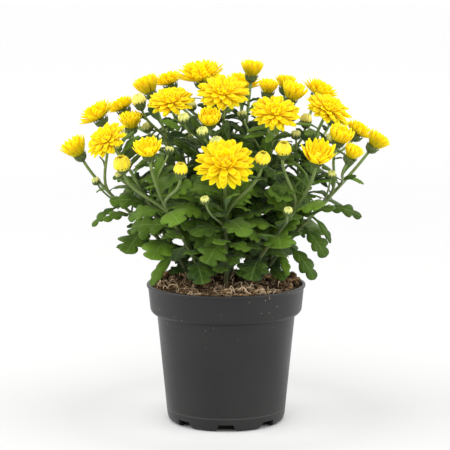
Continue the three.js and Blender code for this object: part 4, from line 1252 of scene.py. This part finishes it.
def add_crumbs(settings):
    """Crumbs of peat, most of them near the rim and heaped at two of its places, each sunk a
    little into the bed."""
    draw = make_draws(CRUMB_SEED)
    bm = new_bmesh()
    for order in range(settings.crumbs):
        crumb = new_bmesh()
        large = order % LARGE_EVERY == 0
        radius = spread(draw, *(LARGE_CRUMB if large else SMALL_CRUMB))
        part = 1 - 0.9 * draw() ** 1.6
        angle = 2 * math.pi * draw()
        heap = order % HEAPED_EVERY == 0
        if heap:
            radius = spread(draw, *HEAPED_CRUMB)
            part = spread(draw, 0.88, 0.12)
            angle = swing(draw, 0.9) + (0.25 if draw() > 0.6 else 2.6)
        x = (SOIL_EDGE - radius) * part * math.cos(angle)
        y = (SOIL_EDGE - radius) * part * math.sin(angle)
        bmesh.ops.create_icosphere(crumb, subdivisions=2 if large else 1, radius=radius)
        shift = Vector((draw(), draw(), draw())) * 50
        flat = spread(draw, 0.55, 0.35)
        tone = draw() ** 2
        shade = 0.6 * draw()
        for vert in crumb.verts:
            vert.co *= 1 + 0.55 * noise.noise(vert.co * (1.3 / radius) + shift)
            vert.co.z *= flat
            vert[crumb.verts.layers.float["tone"]] = tone
            # Each crumb's top gets a random darkness; its underside gets painted shade.
            vert[crumb.verts.layers.float["inner"]] = shade if vert.co.z > 0 else 0.9
        height = peat_height(x, y) + radius * flat * (spread(draw, 0.1, 0.5) + 0.5 * heap)
        bmesh.ops.translate(crumb, vec=(x, y, height), verts=crumb.verts)
        join(bm, crumb)
    finish_piece(bm, "peat_crumbs", [peat_material("peat crumbs", settings, 0.1)], "soil")


def fibre_route(draw, start, heading, length, radius, curl):
    """A wandering route that keeps to the peat's face, with a radius at each point."""
    step = length / (FIBRE_POINTS - 1)
    place = np.array(start, float)
    turn = 0.0
    route = []
    lift = spread(draw, 0.3, 1.6)
    for order in range(FIBRE_POINTS):
        t = order / (FIBRE_POINTS - 1)
        height = peat_height(*place) + lift * math.sin(math.pi * t) * 2.2 - 0.3
        route.append(((*place, height), radius * (1 - 0.7 * t)))
        turn += swing(draw, curl)
        heading += turn * 0.5
        place = place + step * np.array([math.cos(heading), math.sin(heading)])
        far = math.hypot(*place)
        if far > SOIL_EDGE - 1:
            place *= (SOIL_EDGE - 1) / far
            heading += 0.8
    return route


# Twigs and thick roots: start, heading, length, radius and tone.
TWIGS = [
    ((-52, -18), 0.9, 16, 0.8, 0.35), ((-46, -27), -0.4, 11, 0.8, 0.35),
    ((50, -20), 2.2, 14, 0.8, 0.35), ((18, -50), 0.4, 15, 0.8, 0.35),
    ((6, -44), -0.5, 20, 0.45, 1.0), ((14, -40), 0.9, 17, 0.5, 0.9),
    ((30, -44), 0.5, 16, 0.5, 0.8), ((-8, -50), 0.2, 19, 0.4, 0.9),
    ((-34, -40), 0.7, 15, 0.4, 0.8), ((22, -34), -0.9, 18, 0.35, 1.0),
]


def add_fibres(settings):
    """Curly dry roots, most of them in the tangle at the front, and a few thicker twigs."""
    draw = make_draws(FIBRE_SEED)
    bm = new_bmesh()
    for order in range(settings.fibres):
        angle = 2 * math.pi * draw()
        part = 0.97 * math.sqrt(draw())
        start = (SOIL_EDGE * part * math.cos(angle), SOIL_EDGE * part * math.sin(angle))
        lengths, radii, curl = SHORT_FIBRE
        length = spread(draw, *lengths)
        radius = spread(draw, *radii)
        tone = 0.8 * draw() ** 2
        if order % TANGLED_EVERY == 0:
            start = (4 + swing(draw, 60), -36 - 18 * draw())
            lengths, radii, curl = TANGLED_FIBRE
            length = spread(draw, *lengths)
            radius = spread(draw, *radii)
            tone = 0.1 + 0.9 * draw() ** 1.5
        route = fibre_route(draw, start, 2 * math.pi * draw(), length, radius, curl)
        add_stalks(bm, [route], 0, 0, tone)
    for start, heading, length, radius, tone in TWIGS:
        route = fibre_route(draw, start, heading, length, radius, TWIG_CURL)
        add_stalks(bm, [route], 1, 0, tone)
    finish_piece(bm, "peat_fibres", [fibre_material(settings)], "soil")


# ---- Leafy shoots ----

# Lobes of a blade, as places along the rib where each starts, is widest and ends, and its reach
# as a part of the half width. The web is the blade's half width between the lobes.
LOBES = {
    "cut": [(0.24, 0.42, 0.54, 0.76), (0.49, 0.67, 0.79, 1.0), (0.73, 0.88, 1.0, 0.62)],
    "broad": [(0.22, 0.43, 0.57, 0.78), (0.46, 0.67, 0.80, 1.0), (0.71, 0.87, 1.0, 0.68)],
    "narrow": [(0.16, 0.52, 0.66, 0.88), (0.50, 0.73, 0.84, 0.94), (0.72, 0.90, 1.0, 0.56)],
}
WEB = {"cut": 0.30, "broad": 0.47, "narrow": 0.60}
PETIOLE = 0.22
SLIMMER = 0.9  # the stalks' radius, as a part of that in the solids
STEM_TAPER = 0.88  # a stem's radius at its end, as a part of a branch's
STEM_POINTS = 22
BRANCH_POINTS = 12
TWIG_POINTS = 8
SHOOT_SEED = 100
LEAF_FACE, LEAF_BACK, CUP_SCALES, STALK, BUD_CREAM = range(5)
LEAF_ACROSS = 4
TIP_HALF_WIDTH = 0.05  # a blade ends in a narrow edge and not in a point, so no face is empty
LEAF_ROWS = [(4.3, 10), (14.0, 20), (100.0, 28)]  # rows of faces for blades up to each width
LEAF_MESH_KNOTS = ([0, 0.12, 1], [0, PETIOLE, 1])


def outline(form, places, width):
    """Half width of a blade along its rib, in millimetres."""
    stalk = 0.65 + 0.45 * (1 - places)
    body = width / 2 * WEB[form] * smooth(PETIOLE - 0.06, PETIOLE + 0.22, places)
    body = body * (1 - smooth(0.84, 1.0, places))
    half = np.maximum(stalk * (1 - smooth(0.9, 1.0, places)), body)
    for start, widest, end, reach in LOBES[form]:
        rise = np.clip((widest - places) / (widest - start), 0, 1)
        fall = np.clip((places - widest) / (end - widest), 0, 1)
        lobe = width / 2 * reach * (1 - rise ** 2.2) ** 0.8 * (1 - fall ** 2.4) ** 0.6
        half = np.maximum(half, lobe)
    return np.maximum(half, TIP_HALF_WIDTH)


def add_leaf(bm, leaf, draw):
    """A lobed blade on its stalk, folded along the rib and waved towards its edge."""
    phase = 2 * math.pi * draw()
    wave = spread(draw, 0.09, 0.10)
    curl = spread(draw, 0.12, 0.22)
    droop = (draw() - 0.35) * 0.10

    def shape(u, v):
        places = np.interp(v, *LEAF_MESH_KNOTS)
        half = outline(leaf.form, places, leaf.width)
        reach = np.abs(u)
        length = np.linalg.norm(leaf.tip - leaf.base)
        sweep = 0.18 * half * reach ** 1.7 * (1 - places) ** 0.5 / length
        lifts = half * (wave * np.sin(11 * places + phase) * reach ** 2 - curl * reach ** 3)
        lifts = lifts - droop * length * smooth(0.5, 1.0, places)
        return leaf_points(leaf, np.clip(places + sweep, 0, 1), u * half, lifts)

    rows = next(rows for width, rows in LEAF_ROWS if leaf.width < width)
    # The tone is drawn at random and lowered by painted shade towards the middle of the plant.
    add_blade(bm, LEAF_ACROSS, rows, shape, LEAF_FACE, tone=draw() ** 1.3 * painted_leaf_light(leaf))


def painted_leaf_light(leaf):
    """Painted light and shade on a leaf: dark in the middle of the plant where shade falls, pale
    where light falls on it.
    """
    x, y, z = (leaf.base + leaf.tip) / 2
    return 0.35 + 0.65 * float(smooth(28, 72, math.hypot(x, y) + 0.25 * (z - COLLAR_Z)))


PETAL_GRID = (4, 7)
PETAL_CUP = 0.1  # how far the sides of a petal rise from its rib
BUD_TWIST = 0.5  # how far the petals of a bud wind round it, in radians
HEAD_SEED = 300

# How the petals of a head differ: in their place round it, as a part of the gap between two, in
# their reach, as a part of it, in the height of their bend, as a part of the head's radius, and
# in their lean and their sideways drift, in radians.
TURN_SPREAD = 0.3
SIZE_SPREAD = 0.10
RISE_SPREAD = 0.03
ROLL_SPREAD = 0.12
DRIFT_SPREAD = 0.08


def petal_shape(ribs, radius, angle, width, cup, point, roll, drift):
    """The shape of a petal or scale that stands on a Z axis: its rib is a bend of (distance,
    height), and its sides rise towards the axis."""
    base, bend, tip = (np.array(place, float) * radius for place in ribs)

    def shape(u, v):
        t = np.interp(v, [0, 0.5, 1], [0, 0.62, 1])
        rib = np.outer((1 - t) ** 2, base) + np.outer(2 * t * (1 - t), bend) + np.outer(t * t, tip)
        run = np.outer(1 - t, bend - base) + np.outer(t, tip - bend)
        run /= np.linalg.norm(run, axis=1)[:, None]
        round_end = np.sqrt(np.clip(1 - (np.clip(t - 0.7, 0, 1) / 0.31) ** 2, 0.02, 1))
        sharp_end = 1 - np.clip((t - 0.45) / 0.56, 0, 1) ** 1.6
        end = (1 - point) * round_end + point * sharp_end
        widening = 0.36 + 0.64 * np.sin(np.clip(t / 0.72, 0, 1) * math.pi / 2)
        half = width * radius / 2 * widening * end
        across = u * half
        raised = cup * half * (u * u) * (1.25 - 0.75 * t)
        side = across * math.cos(roll) - raised * math.sin(roll)
        lift = across * math.sin(roll) + raised * math.cos(roll)
        reach = rib[:, 0] - lift * run[:, 1]
        height = rib[:, 1] + lift * run[:, 0]
        turned = angle + drift * t * t
        x = reach * np.cos(turned) + side * np.sin(turned)
        y = reach * np.sin(turned) - side * np.cos(turned)
        return np.stack([x, y, height], axis=1)

    return shape


SCALE_WIDTH = 0.46
BUD_SCALE_WIDTH = 0.85
SCALE_GRID = (2, 5)
SCALE_THICKNESS = 0.3
CUP_WHORLS = [(9, 0.3), (11, 0.65), (13, 1.0)]  # count, and part of the way up and out
CUP_WAIST = 0.93  # the cup's body is this part as wide as the scales round it


def add_cup(bm, head, draw):
    """The green cup below a head: a round body and three whorls of overlapping scales."""
    seat = seat_of(head)
    form = FORMS[head.form]
    body = new_bmesh()
    bmesh.ops.create_uvsphere(body, u_segments=12, v_segments=7, radius=1.0)
    for vert in body.verts:
        flare = 0.82 + 0.22 * vert.co.z
        vert.co.x *= form.cup * CUP_WAIST * flare
        vert.co.y *= form.cup * CUP_WAIST * flare
        vert.co.z = (vert.co.z - 0.75) * (seat.depth + GAP) * 0.6
    for face in body.faces:
        face.material_index = STALK
    scales = new_bmesh()
    reach, height = form.scales
    wide = SCALE_WIDTH
    if head.form in CLOSED:
        reach, height = (part * head.diameter / 2 / form.cup for part in form.scales)
        wide = BUD_SCALE_WIDTH
    for whorl, (count, part) in enumerate(CUP_WHORLS):
        for order in range(count):
            angle = 2 * math.pi * (order + 0.5 * whorl + 0.25 * draw()) / count
            tip = (0.9 + (reach - 0.9) * part, -0.62 + (height + 0.62) * part + 0.14 * draw())
            bend = (1.0 + 0.06 * part, tip[1] * 0.4 - 0.45)
            ribs = [(0.34, -CUP_DEPTH), bend, tip]
            shape = petal_shape(ribs, form.cup, angle, wide, 0.25, 0.85, 0.0, 0.0)
            add_blade(scales, *SCALE_GRID, shape, CUP_SCALES, tone=draw())
    thicken(scales, SCALE_THICKNESS)
    join(body, scales)
    bmesh.ops.transform(body, matrix=axis_matrix(seat.axis, seat.seat), verts=body.verts)
    join(bm, body)


BUD_PETALS = 8
BUD_GRID = (2, 6)
BUD_WHORLS = [(8, -0.12), (8, 0.3)]  # count of scales, and the least height of their tips
BUD_THICKNESS = 0.22


def add_small_bud(bm, bud, draw):
    """A closed bud: pale petals rolled into each other, in a cup of green scales."""
    radius = bud.diameter / 2
    axis = tangent(bud_curve(bud), 1)
    body = new_bmesh()
    bmesh.ops.create_uvsphere(body, u_segments=12, v_segments=9, radius=radius * 0.86)
    for face in body.faces:
        face.material_index = BUD_CREAM
    blades = new_bmesh()
    for order in range(BUD_PETALS):
        angle = 2 * math.pi * (order + 0.3 * draw()) / BUD_PETALS
        ribs = [(0.6, -0.6), (1.36, 0.74), (0.16, 0.80)]
        shape = petal_shape(ribs, radius, angle, 0.85, -0.2, 0.3, 0.16, 0.3)
        add_blade(blades, *BUD_GRID, shape, BUD_CREAM, tone=draw())
    for whorl, (count, top) in enumerate(BUD_WHORLS):
        for order in range(count):
            angle = 2 * math.pi * (order + 0.5 * whorl + 0.3 * draw()) / count
            ribs = [(0.2, -0.98), (1.16, -0.86), (1.02, top + 0.2 * draw())]
            shape = petal_shape(ribs, radius, angle, 0.6, 0.15, 0.8, 0.0, 0.0)
            add_blade(blades, *SCALE_GRID, shape, CUP_SCALES, tone=draw())
    thicken(blades, BUD_THICKNESS)
    join(body, blades)
    bmesh.ops.transform(body, matrix=axis_matrix(axis, bud.middle), verts=body.verts)
    join(bm, body)


def curve_route(curve, count, start_radius, end_radius):
    places = np.linspace(0, 1, count)
    radii = start_radius + (end_radius - start_radius) * places
    return list(zip(bezier(curve, places), radii))


def add_bracts(bm, curve, stem, draw):
    """Two small narrow leaves along a branch."""
    for place in (spread(draw, 0.3, 0.15), spread(draw, 0.62, 0.2)):
        base = bezier(curve, place)
        heading = tangent(curve, place)
        first, second = cross_axes(heading)
        angle = 2 * math.pi * draw()
        out = first * math.cos(angle) + second * math.sin(angle)
        length = spread(draw, 9, 8)
        tip = base + unit(out * 0.8 + heading * 0.75) * length
        width = spread(draw, 2.0, 2.2)
        leaf = Leaf(stem, base, tip, heading - 0.6 * out, width, "narrow", LEAF_ARCH * length)
        add_leaf(bm, leaf, draw)


class CHRYSANTHEMUM_OT_shoots(bpy.types.Operator):
    """Build the leafy shoots with their branches, leaves, cups and small buds"""
    bl_idname = "chrysanthemum.shoots"
    bl_label = "Leafy shoots"

    def execute(self, context):
        settings = context.scene.chrysanthemum.plant
        materials = [  # in the order of LEAF_FACE and the names after it
            leaf_material("leaf face", settings.leaf_dark, settings.leaf_light,
                          settings.leaf_vein, 0.3, 0.5),
            leaf_material("leaf back", settings.under_dark, settings.under_light,
                          settings.leaf_vein, 0.6, 0.65),
            bract_material(settings),
            stem_material(settings),
            bud_petal_material("bud cream", settings.cream_base, settings.cream,
                               settings.cream_tip, settings.cream),
        ]
        leaves = plan_leaves()
        for stem in range(len(FEET)):
            draw = make_draws(SHOOT_SEED + stem)
            blades = new_bmesh()
            for leaf in leaves:
                if leaf.stem == stem:
                    add_leaf(blades, leaf, draw)
            foot_radius = STEM_RADIUS * SLIMMER
            stem_route = curve_route(stem_curve(stem), STEM_POINTS, foot_radius,
                                     BRANCH_RADIUS * STEM_TAPER)
            routes = [[((*FEET[stem], FOOT_Z), foot_radius), *stem_route]]
            bm = new_bmesh()
            for head in HEADS:
                if head.stem != stem:
                    continue
                if head.place < 1:
                    seat = seat_of(head)
                    branch = branch_curve(stem, head.place, seat.neck, seat.axis)
                    routes.append(curve_route(branch, BRANCH_POINTS, BRANCH_RADIUS * SLIMMER,
                                              BRANCH_RADIUS * BRANCH_TAPER))
                    add_bracts(blades, branch, stem, draw)
                add_cup(bm, head, draw)
            for bud in SMALL_BUDS:
                if bud.stem == stem:
                    routes.append(curve_route(bud_curve(bud), TWIG_POINTS, TWIG_RADIUS,
                                              TWIG_RADIUS * SLIMMER))
                    add_small_bud(bm, bud, draw)
            thicken(blades, settings.leaf_thickness, under=LEAF_BACK)
            join(bm, blades)
            add_stalks(bm, routes, 3, STALK)
            name = f"{stem + 1:02d}"
            finish_piece(bm, f"shoot_{name}", materials, "foliage", f"leafy_stem_{name}")
        return {"FINISHED"}


# ---- Flower heads ----

def add_petals(bm, head, draw):
    """The whorls of a head, from the outermost inwards, about its own Z axis."""
    form = FORMS[head.form]
    radius = head.diameter / 2
    turn = 2 * math.pi * draw()
    twist = BUD_TWIST if head.form in CLOSED else 0.0
    for order, (count, base, bend, tip, width) in enumerate(form.whorls):
        inner = order / (len(form.whorls) - 1)
        turn += math.pi / count + 0.25 * draw()
        for petal in range(count):
            angle = turn + 2 * math.pi * (petal + swing(draw, TURN_SPREAD)) / count
            size = 1 + SIZE_SPREAD * (draw() - 0.6)
            rise = swing(draw, RISE_SPREAD)
            ribs = [base, (bend[0], bend[1] + rise), (tip[0] * size, tip[1] + 1.4 * rise)]
            petal_width = width * spread(draw, 0.90, 0.18)
            roll = swing(draw, ROLL_SPREAD)
            drift = twist + swing(draw, DRIFT_SPREAD)
            shape = petal_shape(ribs, radius, angle, petal_width, PETAL_CUP, form.point, roll, drift)
            add_blade(bm, *PETAL_GRID, shape, tone=draw(), inner=inner)


class CHRYSANTHEMUM_OT_heads(bpy.types.Operator):
    """Build the flower heads, from closed buds to open blooms"""
    bl_idname = "chrysanthemum.heads"
    bl_label = "Flower heads"

    def execute(self, context):
        settings = context.scene.chrysanthemum.plant
        petals = petal_material(settings)
        bud_petals = bud_petal_material("bud yellow", settings.bud_low, settings.bud_colour,
                                        settings.bud_tip, settings.bud_rim)
        young_petals = bud_petal_material("bud pale yellow", settings.young_low,
                                          settings.young_colour, settings.young_low,
                                          settings.bud_rim)
        looks = {"bud": bud_petals, "young": young_petals}
        for order, head in enumerate(HEADS):
            draw = make_draws(HEAD_SEED + order)
            bm = new_bmesh()
            add_petals(bm, head, draw)
            thicken(bm, settings.petal_thickness)
            add_heart(bm, head)
            seat = seat_of(head)
            bmesh.ops.transform(bm, matrix=axis_matrix(seat.axis, seat.seat), verts=bm.verts)
            name = f"{order + 1:02d}"
            material = looks.get(head.form, petals)
            finish_piece(bm, f"flower_head_{name}", [material], "petals", f"bloom_{name}")
        return {"FINISHED"}


def add_heart(bm, head):
    """The round heart that the petals stand on."""
    radius = head.diameter / 2
    width, height, middle = FORMS[head.form].heart
    heart = new_bmesh()
    bmesh.ops.create_uvsphere(heart, u_segments=14, v_segments=9, radius=1.0)
    bmesh.ops.scale(heart, vec=(width * radius, width * radius, height * radius), verts=heart.verts)
    bmesh.ops.translate(heart, vec=(0, 0, middle * radius), verts=heart.verts)
    for vert in heart.verts:
        vert[heart.verts.layers.float["inner"]] = 1.0
    join(bm, heart)


# ---- Stage ----

# Lights: name, place and size in metres. The first is the key light.
LIGHTS = [
    ("top", (-0.2, -1.2, 2.3), 1.8),
    ("left", (-1.9, -0.4, 0.8), 2.0),
    ("right", (1.9, -0.5, 0.7), 2.0),
]
LIT_POINT = (0, 0, 0.17)
CAMERA_SIDE = -0.0008
# The pale zone is a painted pool of light.
LIGHT_POOL_MIDDLE = (0.0, 0.02, 0.0)  # middle of the pale zone on the floor


def add_area_light(name, place, size, power):
    light = bpy.data.lights.new(name, "AREA")
    light.shape = "DISK"
    light.size = size
    light.energy = power
    holder = bpy.data.objects.new(name, light)
    holder.location = place
    aim = Vector(LIT_POINT) - Vector(place)
    holder.rotation_euler = aim.to_track_quat("-Z", "Y").to_euler()
    bpy.context.scene.collection.objects.link(holder)


class CHRYSANTHEMUM_OT_stage(bpy.types.Operator):
    """Set up the pale floor, the soft lights and the camera"""
    bl_idname = "chrysanthemum.stage"
    bl_label = "Stage"

    def execute(self, context):
        settings = context.scene.chrysanthemum.stage
        scene = context.scene
        bm = bmesh.new()
        bmesh.ops.create_circle(bm, cap_ends=True, segments=96, radius=settings.floor_radius)
        mesh = bpy.data.meshes.new("floor")
        bm.to_mesh(mesh)
        bm.free()
        mesh.shade_smooth()
        mesh.materials.append(floor_material(settings))
        floor = bpy.data.objects.new("floor", mesh)
        scene.collection.objects.link(floor)
        world = bpy.data.worlds.new("room")
        world.use_nodes = True
        background = world.node_tree.nodes["Background"].inputs
        background["Color"].default_value = (1.0, 1.0, 1.0, 1)
        background["Strength"].default_value = settings.world_light
        scene.world = world
        powers = (settings.key_light, settings.side_light, settings.side_light)
        for (name, place, size), power in zip(LIGHTS, powers):
            add_area_light(name, place, size, power)
        camera = bpy.data.cameras.new("camera")
        camera.lens = settings.lens
        holder = bpy.data.objects.new("camera", camera)
        holder.location = (CAMERA_SIDE, -settings.camera_distance, settings.camera_height)
        holder.rotation_euler = (math.pi / 2 - settings.camera_pitch, 0, 0)
        scene.collection.objects.link(holder)
        scene.camera = holder
        scene.view_settings.view_transform = "Standard"
        return {"FINISHED"}


# ---- Panel and registration ----

OPERATORS = [
    CHRYSANTHEMUM_OT_stage, CHRYSANTHEMUM_OT_pot, CHRYSANTHEMUM_OT_peat,
    CHRYSANTHEMUM_OT_shoots, CHRYSANTHEMUM_OT_heads,
]


class CHRYSANTHEMUM_PT_panel(bpy.types.Panel):
    """The builders of the potted chrysanthemum"""
    bl_idname = "CHRYSANTHEMUM_PT_panel"
    bl_label = "Pot Chrysanthemum"
    bl_space_type = "VIEW_3D"
    bl_region_type = "UI"
    bl_category = "Chrysanthemum"

    def draw(self, context):
        for operator in OPERATORS:
            self.layout.operator(operator.bl_idname)


CLASSES = [
    PotSettings, PlantSettings, StageSettings, ChrysanthemumSettings,
    *OPERATORS, CHRYSANTHEMUM_PT_panel,
]


def register():
    for item in CLASSES:
        bpy.utils.register_class(item)
    bpy.types.Scene.chrysanthemum = PointerProperty(type=ChrysanthemumSettings)


def unregister():
    del bpy.types.Scene.chrysanthemum
    for item in reversed(CLASSES):
        bpy.utils.unregister_class(item)


def main():
    register()
    bpy.ops.chrysanthemum.stage()
    bpy.ops.chrysanthemum.pot()
    bpy.ops.chrysanthemum.peat()
    bpy.ops.chrysanthemum.shoots()
    bpy.ops.chrysanthemum.heads()


if __name__ == "__main__":
    main()
